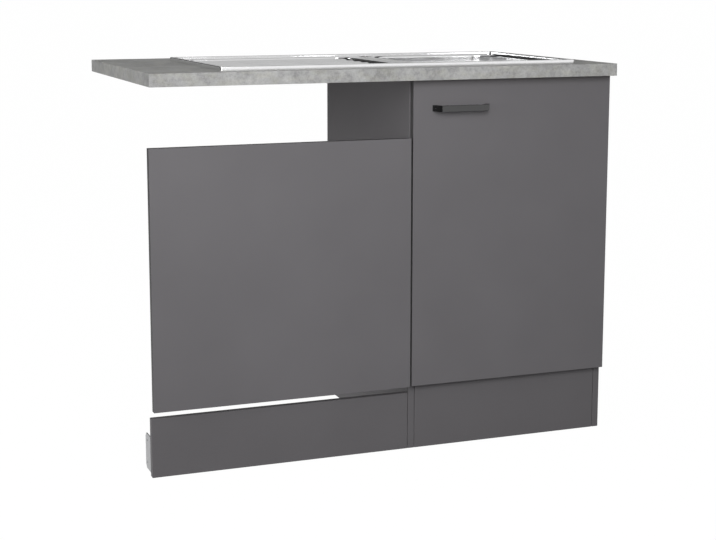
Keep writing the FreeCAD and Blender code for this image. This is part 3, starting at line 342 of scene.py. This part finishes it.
def bump(material, shader, height, strength, depth):
    """Presses a height pattern, depth metres deep, into the surface."""
    node = add_node(material, "ShaderNodeBump")
    node.inputs["Strength"].default_value = strength
    node.inputs["Distance"].default_value = depth
    wire(material, height, node.inputs["Height"])
    wire(material, node.outputs["Normal"], shader.inputs["Normal"])


# %% Board and worktop materials
def facing(material, axis):
    """How squarely the surface faces along an axis of the object, from 0 to 1."""
    place = add_node(material, "ShaderNodeTexCoord")
    split = add_node(material, "ShaderNodeSeparateXYZ")
    wire(material, place.outputs["Normal"], split.inputs[0])
    return combine(material, "ABSOLUTE", split.outputs[axis], 0.0)


def melamine(name, colour, roughness, edge=1.0):
    """Matt melamine board: an even colour, a fine pearl texture and, when edge is below one,
    painted shade on the faces that don't face along Y, such as the narrow top and side edges, where
    shade falls in the gaps.
    """
    material, shader = new_material(name, colour, roughness)
    shader.inputs["Specular IOR Level"].default_value = BOARD_SHEEN
    place = metres(material)
    cloud = noise(material, place, 0.16, 2.0)
    grain = noise(material, place, 0.0016, 4.0, 0.7)
    tone = ramp(material, cloud, [(0.3, 0.965), (0.7, 1.035)])
    speck = ramp(material, grain, [(0.3, 0.94), (0.7, 1.06)])
    shade = blend_colours(material, "MULTIPLY", 1.0, tone, speck)
    # Painted shade: when edge is below one, faces that don't face along Y (the board's narrow
    # edges) are darkened to that share of the colour. This stands in for the shade in the gaps and
    # under the boards above.
    if edge < 1.0:
        band = ramp(material, facing(material, "Y"), [(0.4, edge), (0.7, 1.0)])
        shade = blend_colours(material, "MULTIPLY", 1.0, shade, band)
    wire(material, blend_colours(material, "MULTIPLY", 1.0, colour, shade),
         shader.inputs["Base Color"])
    wire(material, ramp(material, grain, [(0.2, roughness - 0.05), (0.8, roughness + 0.06)]),
         shader.inputs["Roughness"])
    bump(material, shader, grain, 0.25, 0.00008)
    return material


def concrete(name, light, dark, roughness):
    """Laminate with a printed concrete look: soft clouds, mottles and fine pores."""
    material, shader = new_material(name, light, roughness)
    shader.inputs["Specular IOR Level"].default_value = BOARD_SHEEN
    place = metres(material)
    cloud = noise(material, place, 0.09, 3.0, 0.55)
    mottle = noise(material, place, 0.014, 6.0, 0.68)
    pores = noise(material, place, 0.0026, 3.0, 0.6)
    body = ramp(material, cloud, [(0.32, dark), (0.68, light)])
    mottles = ramp(material, mottle, [(0.30, 0.66), (0.5, 1.0), (0.72, 1.28)])
    body = blend_colours(material, "MULTIPLY", 0.85, body, mottles)
    pitted = ramp(material, pores, [(0.3, 0.80), (0.55, 1.05)])
    body = blend_colours(material, "MULTIPLY", 0.7, body, pitted)
    warm = noise(material, metres(material, (1, 1, 1.7)), 0.03, 2.0)
    tint = ramp(material, warm, [(0.44, (1.0, 1.0, 1.0)), (0.66, (1.02, 1.015, 0.96)),
                                 (0.78, (0.99, 1.01, 0.99))])
    wire(material, blend_colours(material, "MULTIPLY", 1.0, body, tint),
         shader.inputs["Base Color"])
    wire(material, ramp(material, mottle, [(0.3, roughness - 0.08), (0.7, roughness + 0.08)]),
         shader.inputs["Roughness"])
    bump(material, shader, mottle, 0.2, 0.0002)
    return material


def chipboard(name):
    """Raw chipboard: pressed flakes of several browns."""
    material, shader = new_material(name, (0.46, 0.33, 0.20), 0.85)
    place = metres(material)
    flakes = add_node(material, "ShaderNodeTexVoronoi")
    flakes.inputs["Scale"].default_value = 420
    wire(material, place, flakes.inputs["Vector"])
    split = add_node(material, "ShaderNodeSeparateColor")
    wire(material, flakes.outputs["Color"], split.inputs[0])
    body = ramp(material, split.outputs[0], [(0.1, (0.30, 0.20, 0.11)), (0.5, (0.50, 0.37, 0.23)),
                                             (0.9, (0.64, 0.50, 0.33))])
    wire(material, body, shader.inputs["Base Color"])
    bump(material, shader, noise(material, place, 0.002, 5.0, 0.7), 0.6, 0.0005)
    return material


def beech(name):
    """Turned beech with a grain along the dowel."""
    material, shader = new_material(name, (0.62, 0.44, 0.26), 0.6)
    grain = noise(material, metres(material, (0.15, 1, 1)), 0.001, 4.0)
    wire(material, ramp(material, grain, [(0.3, (0.50, 0.33, 0.18)), (0.7, (0.68, 0.50, 0.31))]),
         shader.inputs["Base Color"])
    return material


# %% Metal, plastic and rubber materials
BOWL_BEGINS, BOWL_DULL = 4 * MM, 12 * MM
BOWL_METALLIC = 0.72


def satin_steel(name, colour, roughness, brush, stretch=(1, 1, 1)):
    """Steel with a drawn satin finish: fine scratches along one way, and soft clouds."""
    material, shader = new_material(name, colour, roughness, 1.0)
    lines = noise(material, metres(material, stretch), brush, 4.0, 0.6)
    cloud = noise(material, metres(material), 0.05, 2.0)
    wire(material, ramp(material, lines, [(0.3, roughness - 0.04), (0.7, roughness + 0.05)]),
         shader.inputs["Roughness"])
    shade = ramp(material, cloud, [(0.3, 0.96), (0.7, 1.0)])
    wire(material, blend_colours(material, "MULTIPLY", 1.0, colour, shade),
         shader.inputs["Base Color"])
    bump(material, shader, lines, 0.12, 0.00002)
    return material


def pressed_steel(name, colour, roughness, bowl_roughness, seam):
    """Satin steel that gets duller below the bowl's seam, where the sheet is drawn deep."""
    material = satin_steel(name, colour, roughness, 0.0012, (0.04, 1, 1))
    shader = material.node_tree.nodes["Principled BSDF"]
    split = add_node(material, "ShaderNodeSeparateXYZ")
    wire(material, metres(material), split.inputs[0])
    low, high = seam - BOWL_DULL, seam - BOWL_BEGINS
    bowl = remap(material, split.outputs["Z"], low, high, bowl_roughness - roughness, 0.0)
    rough = shader.inputs["Roughness"].links[0].from_socket
    wire(material, combine(material, "ADD", rough, bowl), shader.inputs["Roughness"])
    scatter = remap(material, split.outputs["Z"], low, high, BOWL_METALLIC, 1.0)
    wire(material, scatter, shader.inputs["Metallic"])
    return material


def zinc(name, colour):
    """Zinc plate: small blotchy spangles, a little dull."""
    material, shader = new_material(name, colour, 0.38, 1.0)
    place = metres(material)
    spangle = noise(material, place, 0.006, 3.0, 0.6)
    wire(material, ramp(material, spangle, [(0.3, tuple(0.82 * c for c in colour)), (0.7, colour)]),
         shader.inputs["Base Color"])
    wire(material, ramp(material, spangle, [(0.3, 0.30), (0.7, 0.46)]), shader.inputs["Roughness"])
    bump(material, shader, noise(material, place, 0.0012, 2.0), 0.15, 0.00005)
    return material


def moulded(name, colour, roughness):
    """Moulded plastic or rubber with a faint skin."""
    material, shader = new_material(name, colour, roughness)
    place = metres(material)
    skin = noise(material, place, 0.0012, 3.0, 0.6)
    cloud = ramp(material, noise(material, place, 0.03, 2.0), [(0.3, 0.95), (0.7, 1.0)])
    wire(material, blend_colours(material, "MULTIPLY", 1.0, colour, cloud),
         shader.inputs["Base Color"])
    bump(material, shader, skin, 0.2, 0.00006)
    return material


def black_lacquer(name):
    """Smooth black lacquer, which mirrors the studio's white and dark parts."""
    material, shader = new_material(name, (0.004, 0.004, 0.0045), 0.20)
    shader.inputs["Specular IOR Level"].default_value = 1.0
    shader.inputs["IOR"].default_value = 1.5
    place = metres(material)
    wire(material, ramp(material, noise(material, place, 0.012, 2.0), [(0.3, 0.16), (0.7, 0.22)]),
         shader.inputs["Roughness"])
    bump(material, shader, noise(material, place, 0.0007, 2.0), 0.1, 0.00003)
    return material


# %% Put the materials on
seam_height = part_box("sink_bowl")[1].z
materials = {
    "chipboard": chipboard("raw_chipboard"),
    # Painted shade: the laminate on top is the same printed concrete as the edging but made darker.
    # This stands in for the weaker light that falls on the top than on the front edges.
    "laminate": concrete("concrete_laminate", (0.33, 0.33, 0.328), (0.26, 0.26, 0.258), 0.52),
    "edging": concrete("concrete_edging", (0.39, 0.39, 0.388), (0.30, 0.30, 0.298), 0.52),
    "sink_steel": pressed_steel("sink_steel", (0.88, 0.88, 0.885), 0.13, 0.36, seam_height),
    "waste_steel": satin_steel("waste_steel", (0.80, 0.80, 0.80), 0.14, 0.001),
    "zinc_steel": zinc("zinc_plate", (0.42, 0.425, 0.435)),
    "nickel_steel": satin_steel("nickel_plate", (0.62, 0.60, 0.57), 0.24, 0.002),
    "seal_foam": moulded("seal_foam", (0.03, 0.03, 0.03), 0.9),
    "rubber": moulded("black_rubber", (0.018, 0.018, 0.018), 0.7),
    "white_plastic": moulded("white_plastic", (0.74, 0.74, 0.73), 0.42),
    "carcass": melamine("anthracite_carcass", (0.116, 0.111, 0.117), 0.55),
    # The front boards get painted shade on their narrow edges, which are darkened to 0.3 of the
    # board's colour.
    "front": melamine("anthracite_front", (0.130, 0.125, 0.132), 0.52, 0.3),
    "dowel_wood": beech("beech"),
    "black_metal": black_lacquer("black_lacquer"),
    "bumper": moulded("soft_bumper", (0.55, 0.55, 0.55), 0.5),
}


def dress_frame():
    """Gives every node of the frame the material of its slot in the record."""
    for part in frame["record"]["subparts"]:
        holder = nodes[part["node"]]
        for place in holder.material_slots:
            place.material = materials[part["material_slot"]]


dress_frame()

# %% [markdown]
# ## The sink
#
# A kitchen sink is pressed from one steel sheet, so every fold is a soft round and the sheet
# never ends inside. The frame holds its true size, and here the same sheet is drawn again as
# a stack of rounded outlines joined by bands of faces, which gives clean folds for the steel
# to mirror. The drainer's floor is a fine grid whose ribs swell out of it and fade at their
# ends, as pressed ribs do. A Solidify modifier then gives the sheet its 0.8 mm.

# %% Sizes of the sink
SHEET = 0.8 * MM
RIM_WIDTH = 12 * MM
RIM_ROUND = 1.8 * MM
RIM_CORNER = 5 * MM
RIM_LIP_GAP = 0.1 * MM
RIM_LEAST_CORNER = 0.4 * MM
DECK_HEIGHT = 3 * MM
BOWL_MARGIN_RIGHT = 22 * MM
BOWL_MARGIN_BACK = 25 * MM
BOWL_SIZE = (330 * MM, 370 * MM)
BOWL_CORNER = 55 * MM
BOWL_LIP = 5 * MM
BOWL_FLOOR_ROUND = 30 * MM
BOWL_DEPTH = 150 * MM
DRAINER_MARGIN = 32 * MM
DRAINER_GAP = 66 * MM
DRAINER_CORNER = 28 * MM
DRAINER_DROP = 5 * MM
DRAINER_ROUND = 2.5 * MM
RIB_COUNT = 8
RIB_INSET = 16 * MM
RIB_HALF = 4.6 * MM
RIB_HEIGHT = 3 * MM
RIB_FADE = 9 * MM
RIB_MARGIN = 3 * MM
WASTE_RADIUS = 45.3 * MM
OVERFLOW_RADIUS = 16 * MM
OVERFLOW_DROP = 55 * MM
OVERFLOW_DRILL = 6 * MM
TAP_RADIUS = 17.5 * MM
TAP_FROM_BOWL = (14 * MM, 16 * MM)

deck_low, deck_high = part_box("sink_deck")
rim_box = (deck_low.x, deck_high.x, deck_low.y, deck_high.y)
rim_top = deck_high.z
worktop_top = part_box("worktop_laminate")[1].z
deck_z = worktop_top + DECK_HEIGHT
bowl_box = (deck_high.x - BOWL_MARGIN_RIGHT - BOWL_SIZE[0], deck_high.x - BOWL_MARGIN_RIGHT,
            deck_high.y - BOWL_MARGIN_BACK - BOWL_SIZE[1], deck_high.y - BOWL_MARGIN_BACK)
drainer_box = (deck_low.x + DRAINER_MARGIN, bowl_box[0] - DRAINER_GAP,
               deck_low.y + DRAINER_MARGIN, deck_high.y - DRAINER_MARGIN)
bowl_centre = Vector(((bowl_box[0] + bowl_box[1]) / 2, (bowl_box[2] + bowl_box[3]) / 2, 0))
print("rim", [round(v, 4) for v in rim_box], "bowl", [round(v, 4) for v in bowl_box])


# %% Rings and bands
CORNER_STEPS = 10
SIDE_STEPS = 6
RIM_STEPS = 5
LIP_STEPS = 6
FLOOR_STEPS = 10
DRAINER_STEPS = 4
RIB_STEPS = 5
FADE_STEPS = 8


def quarter(centre, radius, start, end, steps):
    """Points (across, height) on an arc between two angles in degrees."""
    points = []
    for i in range(steps + 1):
        angle = math.radians(start + (end - start) * i / steps)
        points.append((centre[0] + radius * math.cos(angle), centre[1] + radius * math.sin(angle)))
    return points


def rounded_ring(box, grow, radius, z):
    """A rounded rectangle, grown all round, as points that run anticlockwise."""
    x0, x1, y0, y1 = box[0] - grow, box[1] + grow, box[2] - grow, box[3] + grow
    points = []
    for cx, cy, start in ((x1 - radius, y0 + radius, -90), (x1 - radius, y1 - radius, 0),
                          (x0 + radius, y1 - radius, 90), (x0 + radius, y0 + radius, 180)):
        arc = quarter((cx, cy), radius, start, start + 90, CORNER_STEPS)
        if points:
            points += side_points(points[-1], arc[0])
        points += arc
    points += side_points(points[-1], points[0])
    return [(x, y, z) for x, y in points]


def side_points(start, end):
    """Points inside a straight side, without its ends."""
    return [(start[0] + (end[0] - start[0]) * i / SIDE_STEPS,
             start[1] + (end[1] - start[1]) * i / SIDE_STEPS) for i in range(1, SIDE_STEPS)]


def add_ring(bm, points):
    return [bm.verts.new(point) for point in points]


def band(bm, first, second):
    """Faces between two rings of the same count."""
    count = len(first)
    for i in range(count):
        j = (i + 1) % count
        bm.faces.new((first[i], first[j], second[j], second[i]))


def stack(bm, rings):
    """Bands through a list of rings; returns the first and last."""
    made = [add_ring(bm, ring) for ring in rings]
    for first, second in zip(made, made[1:]):
        band(bm, first, second)
    return made[0], made[-1]


def ring_edges(bm, verts):
    """The edges round a ring, made where they are missing."""
    edges = []
    for i, vert in enumerate(verts):
        other = verts[(i + 1) % len(verts)]
        edges.append(bm.edges.get((vert, other)) or bm.edges.new((vert, other)))
    return edges


def circle(centre, radius, z, count=48):
    return [(centre[0] + radius * math.cos(2 * math.pi * i / count),
             centre[1] + radius * math.sin(2 * math.pi * i / count), z) for i in range(count)]


print("a ring has", len(rounded_ring(rim_box, 0, RIM_CORNER, 0)), "points")


# %% Rim, bowl and drainer
def rim_rings():
    """From the lip on the worktop, over the rim and down to the deck."""
    profile = [(0.0, worktop_top + RIM_LIP_GAP)]
    profile += quarter((RIM_ROUND, rim_top - RIM_ROUND), RIM_ROUND, 180, 90, RIM_STEPS)
    profile += quarter((RIM_WIDTH - RIM_ROUND, rim_top - RIM_ROUND), RIM_ROUND, 90, 0, RIM_STEPS)
    profile += quarter((RIM_WIDTH + RIM_ROUND, deck_z + RIM_ROUND), RIM_ROUND, 180, 270, RIM_STEPS)
    rings = []
    for inset, z in profile:
        corner = RIM_CORNER - inset
        if inset >= RIM_WIDTH / 2:
            corner += RIM_WIDTH
        rings.append(rounded_ring(rim_box, -inset, max(corner, RIM_LEAST_CORNER), z))
    return rings


def bowl_rings():
    """From the deck over the bowl's lip, down its wall and round on to its floor."""
    floor_z = deck_z - BOWL_DEPTH
    profile = quarter((BOWL_LIP, deck_z - BOWL_LIP), BOWL_LIP, 90, 180, LIP_STEPS)
    profile += quarter((-BOWL_FLOOR_ROUND, floor_z + BOWL_FLOOR_ROUND), BOWL_FLOOR_ROUND,
                       0, -90, FLOOR_STEPS)
    return [rounded_ring(bowl_box, grow, BOWL_CORNER + grow, z) for grow, z in profile]


def drainer_rings():
    """From the deck down the drainer's shallow edge."""
    floor_z = deck_z - DRAINER_DROP
    profile = quarter((DRAINER_ROUND, deck_z - DRAINER_ROUND), DRAINER_ROUND,
                      90, 180, DRAINER_STEPS)
    profile += quarter((-DRAINER_ROUND, floor_z + DRAINER_ROUND), DRAINER_ROUND,
                       0, -90, DRAINER_STEPS)[1:]
    return [rounded_ring(drainer_box, grow, DRAINER_CORNER + grow, z) for grow, z in profile]


def fill_between(bm, loops):
    """Flat faces inside the first loop and outside the others."""
    edges = [edge for loop in loops for edge in ring_edges(bm, loop)]
    bmesh.ops.triangle_fill(bm, use_beauty=True, use_dissolve=False, edges=edges)


def rib_lines():
    """Rows across the drainer, close together where a rib swells, with each one's share."""
    low, high = drainer_box[2], drainer_box[3]
    step = (high - low - 2 * RIB_INSET) / (RIB_COUNT - 1)
    rows = []
    for i in range(RIB_COUNT):
        middle = low + RIB_INSET + i * step
        for j in range(-RIB_STEPS, RIB_STEPS + 1):
            across = j / RIB_STEPS
            rows.append((middle + across * RIB_HALF, 0.5 + 0.5 * math.cos(math.pi * across)))
    return rows


def rib_columns():
    """Columns along the drainer, close together at the ribs' faded ends."""
    start = drainer_box[0] + RIB_INSET - RIB_MARGIN
    end = drainer_box[1] - RIB_INSET + RIB_MARGIN
    columns = []
    for i in range(FADE_STEPS + 1):
        share = 0.5 - 0.5 * math.cos(math.pi * i / FADE_STEPS)
        columns.append((start + RIB_FADE * i / FADE_STEPS, share))
    for i in range(1, FADE_STEPS):
        along = (end - start - 2 * RIB_FADE) * i / FADE_STEPS
        columns.append((start + RIB_FADE + along, 1.0))
    for i in range(FADE_STEPS + 1):
        share = 0.5 + 0.5 * math.cos(math.pi * i / FADE_STEPS)
        columns.append((end - RIB_FADE + RIB_FADE * i / FADE_STEPS, share))
    return columns


def ribbed_floor(bm, z):
    """The drainer's floor with its ribs; returns its border as a loop."""
    rows, columns = rib_lines(), rib_columns()
    grid = [[bm.verts.new((x, y, z + RIB_HEIGHT * along * across)) for x, along in columns]
            for y, across in rows]
    for lower, upper in zip(grid, grid[1:]):
        for i in range(len(columns) - 1):
            bm.faces.new((lower[i], lower[i + 1], upper[i + 1], upper[i]))
    right = [row[-1] for row in grid]
    left = [row[0] for row in grid]
    return grid[0] + right[1:] + grid[-1][::-1][1:] + left[::-1][1:-1]


def sink_sheet():
    """The sink's upper face as one skin."""
    bm = bmesh.new()
    rim_inner = stack(bm, rim_rings())[1]
    bowl_lip, bowl_floor = stack(bm, bowl_rings())
    drainer_lip, drainer_floor = stack(bm, drainer_rings())
    tap = add_ring(bm, circle((bowl_box[0] - TAP_FROM_BOWL[0], bowl_box[3] - TAP_FROM_BOWL[1]),
                              TAP_RADIUS, deck_z))
    fill_between(bm, [rim_inner, bowl_lip, drainer_lip, tap])
    waste = add_ring(bm, circle(bowl_centre, WASTE_RADIUS, deck_z - BOWL_DEPTH))
    fill_between(bm, [bowl_floor, waste])
    fill_between(bm, [drainer_floor, ribbed_floor(bm, deck_z - DRAINER_DROP)])
    bmesh.ops.recalc_face_normals(bm, faces=bm.faces)
    largest = max(bm.faces, key=lambda face: face.calc_area())
    if largest.normal.z < 0:
        bmesh.ops.reverse_faces(bm, faces=bm.faces)
    return bm


def mesh_object(name, bm):
    """A new object at the origin with this mesh."""
    mesh = bpy.data.meshes.new(name)
    bm.to_mesh(mesh)
    bm.free()
    thing = bpy.data.objects.new(name, mesh)
    bpy.context.scene.collection.objects.link(thing)
    return thing


def baked(thing):
    """Turns an object's modifiers into plain mesh."""
    bpy.context.view_layer.update()
    graph = bpy.context.evaluated_depsgraph_get()
    mesh = bpy.data.meshes.new_from_object(thing.evaluated_get(graph))
    thing.modifiers.clear()
    thing.data = mesh


def smooth_folds(thing, angle=40):
    """Soft shading over rounds, with edges sharper than the angle kept crisp."""
    thing.data.shade_smooth()
    thing.data.set_sharp_from_angle(angle=math.radians(angle))


def finish_piece(thing, material, body, slot, *replaced):
    """Gives a piece its material and body, and hides the nodes it stands for; the record slot is
    not used.
    """
    thing.data.materials.clear()
    thing.data.materials.append(material)
    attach(thing, body)
    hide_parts(*replaced)
    print(thing.name, len(thing.data.polygons), "faces on", body)


def wall_drill(name, centre, radius, length):
    """A round cutter along X."""
    bm = bmesh.new()
    along_x = Matrix.Translation(centre) @ Matrix.Rotation(math.pi / 2, 4, "Y")
    bmesh.ops.create_cone(bm, cap_ends=True, segments=48, radius1=radius, radius2=radius,
                          depth=length, matrix=along_x)
    return mesh_object(name, bm)


sink = mesh_object("sink_pressing", sink_sheet())
wall = sink.modifiers.new("sheet", "SOLIDIFY")
wall.thickness = SHEET
wall.offset = -1
drill = wall_drill("overflow_drill", (bowl_box[1], bowl_centre.y, deck_z - OVERFLOW_DROP),
                   OVERFLOW_RADIUS, OVERFLOW_DRILL)
hole = sink.modifiers.new("overflow", "BOOLEAN")
hole.object = drill
hole.solver = "EXACT"
baked(sink)
bpy.data.objects.remove(drill)
smooth_folds(sink)
weights = sink.modifiers.new("flats_first", "WEIGHTED_NORMAL")
weights.keep_sharp = True
baked(sink)
finish_piece(sink, materials["sink_steel"], "cabinet", "sink_steel", "sink_deck", "sink_bowl")

# %% [markdown]
# ## Screws
#
# A unit like this is held by a few dozen small screws, and each kind repeats: under the
# worktop, on the brackets, the clips, the hinges and the handle. Geometry Nodes suit that: one
# tree models a pan head with a cross recess on its shank, and puts a copy at every point it is
# given. The points come from the frame itself. There each screw is a plain solid, whose box
# gives the screw's place, its length and the way it points.

# %% Read the screws from the frame
SAME_POINT = 1e-6
SAME_HEIGHT = 1e-5
HEAD_SHARE = 0.9


def separate_solids(node_name):
    """The corner points of each solid in a node, in the same order on every run."""
    bm = bmesh.new()
    bm.from_mesh(nodes[node_name].data)
    bmesh.ops.remove_doubles(bm, verts=bm.verts, dist=SAME_POINT)
    bm.verts.index_update()
    seen, solids = set(), []
    for start in bm.verts:
        if start.index in seen:
            continue
        seen.add(start.index)
        group = [start]
        # The group grows while it is walked, until it holds the whole solid.
        for vert in group:
            for link in vert.link_edges:
                other = link.other_vert(vert)
                if other.index not in seen:
                    seen.add(other.index)
                    group.append(other)
        solids.append([vert.co.copy() for vert in group])
    bm.free()
    return solids


def measure_screw(points):
    """Place and direction of a screw's head, with its head and shank sizes."""
    low = Vector([min(p[i] for p in points) for i in range(3)])
    high = Vector([max(p[i] for p in points) for i in range(3)])
    along = max(range(3), key=lambda i: high[i] - low[i])
    middle = (low + high) / 2

    def radius(point):
        return math.sqrt(sum((point[i] - middle[i]) ** 2 for i in range(3) if i != along))

    widest = max(radius(p) for p in points)
    head = [p[along] for p in points if radius(p) > HEAD_SHARE * widest]
    outward = 1 if (min(head) + max(head)) / 2 > middle[along] else -1
    end = high[along] if outward > 0 else low[along]
    seat = min(head) if outward > 0 else max(head)
    tip = low[along] if outward > 0 else high[along]
    shank = max(radius(p) for p in points if abs(p[along] - tip) < SAME_HEIGHT)
    place = middle.copy()
    place[along] = seat
    axis = Vector([outward if i == along else 0 for i in range(3)])
    return place, axis, {"Head Radius": widest, "Head Height": abs(end - seat),
                         "Shank Radius": shank, "Length": abs(seat - tip)}


for name in ("worktop_angle_screws", "handle_screws"):
    sizes = measure_screw(separate_solids(name)[0])[2]
    print(name, {key: round(value * 1000, 2) for key, value in sizes.items()}, "mm")

# %% The screw tree
RECESS_DEPTH_SHARE = 0.55
RECESS_WIDTH_SHARE = 0.26
RECESS_LENGTH_SHARE = 1.2
HEAD_TOP_SHARE = 0.8
HEAD_SIDES = 28
SHANK_SIDES = 16
SCREW_FOLD = 30


def screw_tree():
    """A node tree that puts a pan-head screw on every point, along the point's axis."""
    tree = bpy.data.node_groups.new("screws_on_points", "GeometryNodeTree")
    face = tree.interface
    face.new_socket("Points", in_out="INPUT", socket_type="NodeSocketGeometry")
    for name in ("Head Radius", "Head Height", "Shank Radius", "Length"):
        face.new_socket(name, in_out="INPUT", socket_type="NodeSocketFloat")
    face.new_socket("Finish", in_out="INPUT", socket_type="NodeSocketMaterial")
    face.new_socket("Screws", in_out="OUTPUT", socket_type="NodeSocketGeometry")
    nodes_in, link = tree.nodes, tree.links.new
    given = nodes_in.new("NodeGroupInput").outputs

    def scaled(value, factor):
        node = nodes_in.new("ShaderNodeMath")
        node.operation = "MULTIPLY"
        link(value, node.inputs[0])
        node.inputs[1].default_value = factor
        return node.outputs[0]

    def vector(x, y, z):
        node = nodes_in.new("ShaderNodeCombineXYZ")
        for socket, value in zip(node.inputs, (x, y, z)):
            if value is not None:
                link(value, socket)
        return node.outputs[0]

    def moved(mesh, offset, turn=0.0):
        node = nodes_in.new("GeometryNodeTransform")
        link(mesh, node.inputs["Geometry"])
        link(offset, node.inputs["Translation"])
        node.inputs["Rotation"].default_value = (0, 0, turn)
        return node.outputs[0]

    shank = nodes_in.new("GeometryNodeMeshCylinder")
    shank.inputs["Vertices"].default_value = SHANK_SIDES
    link(given["Shank Radius"], shank.inputs["Radius"])
    link(given["Length"], shank.inputs["Depth"])
    shank_down = moved(shank.outputs["Mesh"], vector(None, None, scaled(given["Length"], -0.5)))
    head = nodes_in.new("GeometryNodeMeshCone")
    head.inputs["Vertices"].default_value = HEAD_SIDES
    link(scaled(given["Head Radius"], HEAD_TOP_SHARE), head.inputs["Radius Top"])
    link(given["Head Radius"], head.inputs["Radius Bottom"])
    link(given["Head Height"], head.inputs["Depth"])
    slot = nodes_in.new("GeometryNodeMeshCube")
    depth = scaled(given["Head Height"], 2 * RECESS_DEPTH_SHARE)
    length = scaled(given["Head Radius"], RECESS_LENGTH_SHARE)
    width = scaled(given["Head Radius"], RECESS_WIDTH_SHARE)
    link(vector(length, width, depth), slot.inputs["Size"])
    top = vector(None, None, given["Head Height"])
    cut = nodes_in.new("GeometryNodeMeshBoolean")
    cut.operation = "DIFFERENCE"
    link(head.outputs["Mesh"], cut.inputs["Mesh 1"])
    link(moved(slot.outputs["Mesh"], top), cut.inputs["Mesh 2"])
    link(moved(slot.outputs["Mesh"], top, math.pi / 2), cut.inputs["Mesh 2"])
    screw = nodes_in.new("GeometryNodeJoinGeometry")
    link(cut.outputs["Mesh"], screw.inputs[0])
    link(shank_down, screw.inputs[0])
    axis = nodes_in.new("GeometryNodeInputNamedAttribute")
    axis.data_type = "FLOAT_VECTOR"
    axis.inputs["Name"].default_value = "axis"
    aim = nodes_in.new("FunctionNodeAlignRotationToVector")
    aim.axis = "Z"
    link(axis.outputs["Attribute"], aim.inputs["Vector"])
    place = nodes_in.new("GeometryNodeInstanceOnPoints")
    link(given["Points"], place.inputs["Points"])
    link(screw.outputs[0], place.inputs["Instance"])
    link(aim.outputs["Rotation"], place.inputs["Rotation"])
    real = nodes_in.new("GeometryNodeRealizeInstances")
    link(place.outputs[0], real.inputs[0])
    finish = nodes_in.new("GeometryNodeSetMaterial")
    link(real.outputs[0], finish.inputs["Geometry"])
    link(given["Finish"], finish.inputs["Material"])
    link(finish.outputs[0], nodes_in.new("NodeGroupOutput").inputs[0])
    return tree


tree = screw_tree()
print("screw tree:", len(tree.nodes), "nodes")


# %% Put the screws in
def screw_set(node_name, body, slot):
    """The screws of one node of the frame, as one plain mesh."""
    screws = [measure_screw(solid) for solid in separate_solids(node_name)]
    mesh = bpy.data.meshes.new(node_name + "_dressed")
    mesh.from_pydata([place for place, axis, sizes in screws], [], [])
    axes = mesh.attributes.new("axis", "FLOAT_VECTOR", "POINT")
    axes.data.foreach_set("vector", [value for place, axis, sizes in screws for value in axis])
    thing = bpy.data.objects.new(node_name + "_dressed", mesh)
    bpy.context.scene.collection.objects.link(thing)
    maker = thing.modifiers.new("screws", "NODES")
    maker.node_group = tree
    values = dict(screws[0][2], Finish=materials[slot])
    for socket in tree.interface.items_tree:
        if socket.in_out == "INPUT" and socket.name in values:
            maker[socket.identifier] = values[socket.name]
    baked(thing)
    smooth_folds(thing, SCREW_FOLD)
    finish_piece(thing, materials[slot], body, slot, node_name)


screw_slots = {part["node"]: part["material_slot"] for part in frame["record"]["subparts"]}
for node_name, body in (("worktop_angle_screws", "cabinet"), ("plinth_bracket_screws", "cabinet"),
                        ("sink_clip_screws", "cabinet"), ("hinge_plate_screws", "cabinet"),
                        ("hinge_arm_screws", "cabinet"), ("hinge_cup_screws", "door"),
                        ("handle_screws", "door")):
    screw_set(node_name, body, screw_slots[node_name])
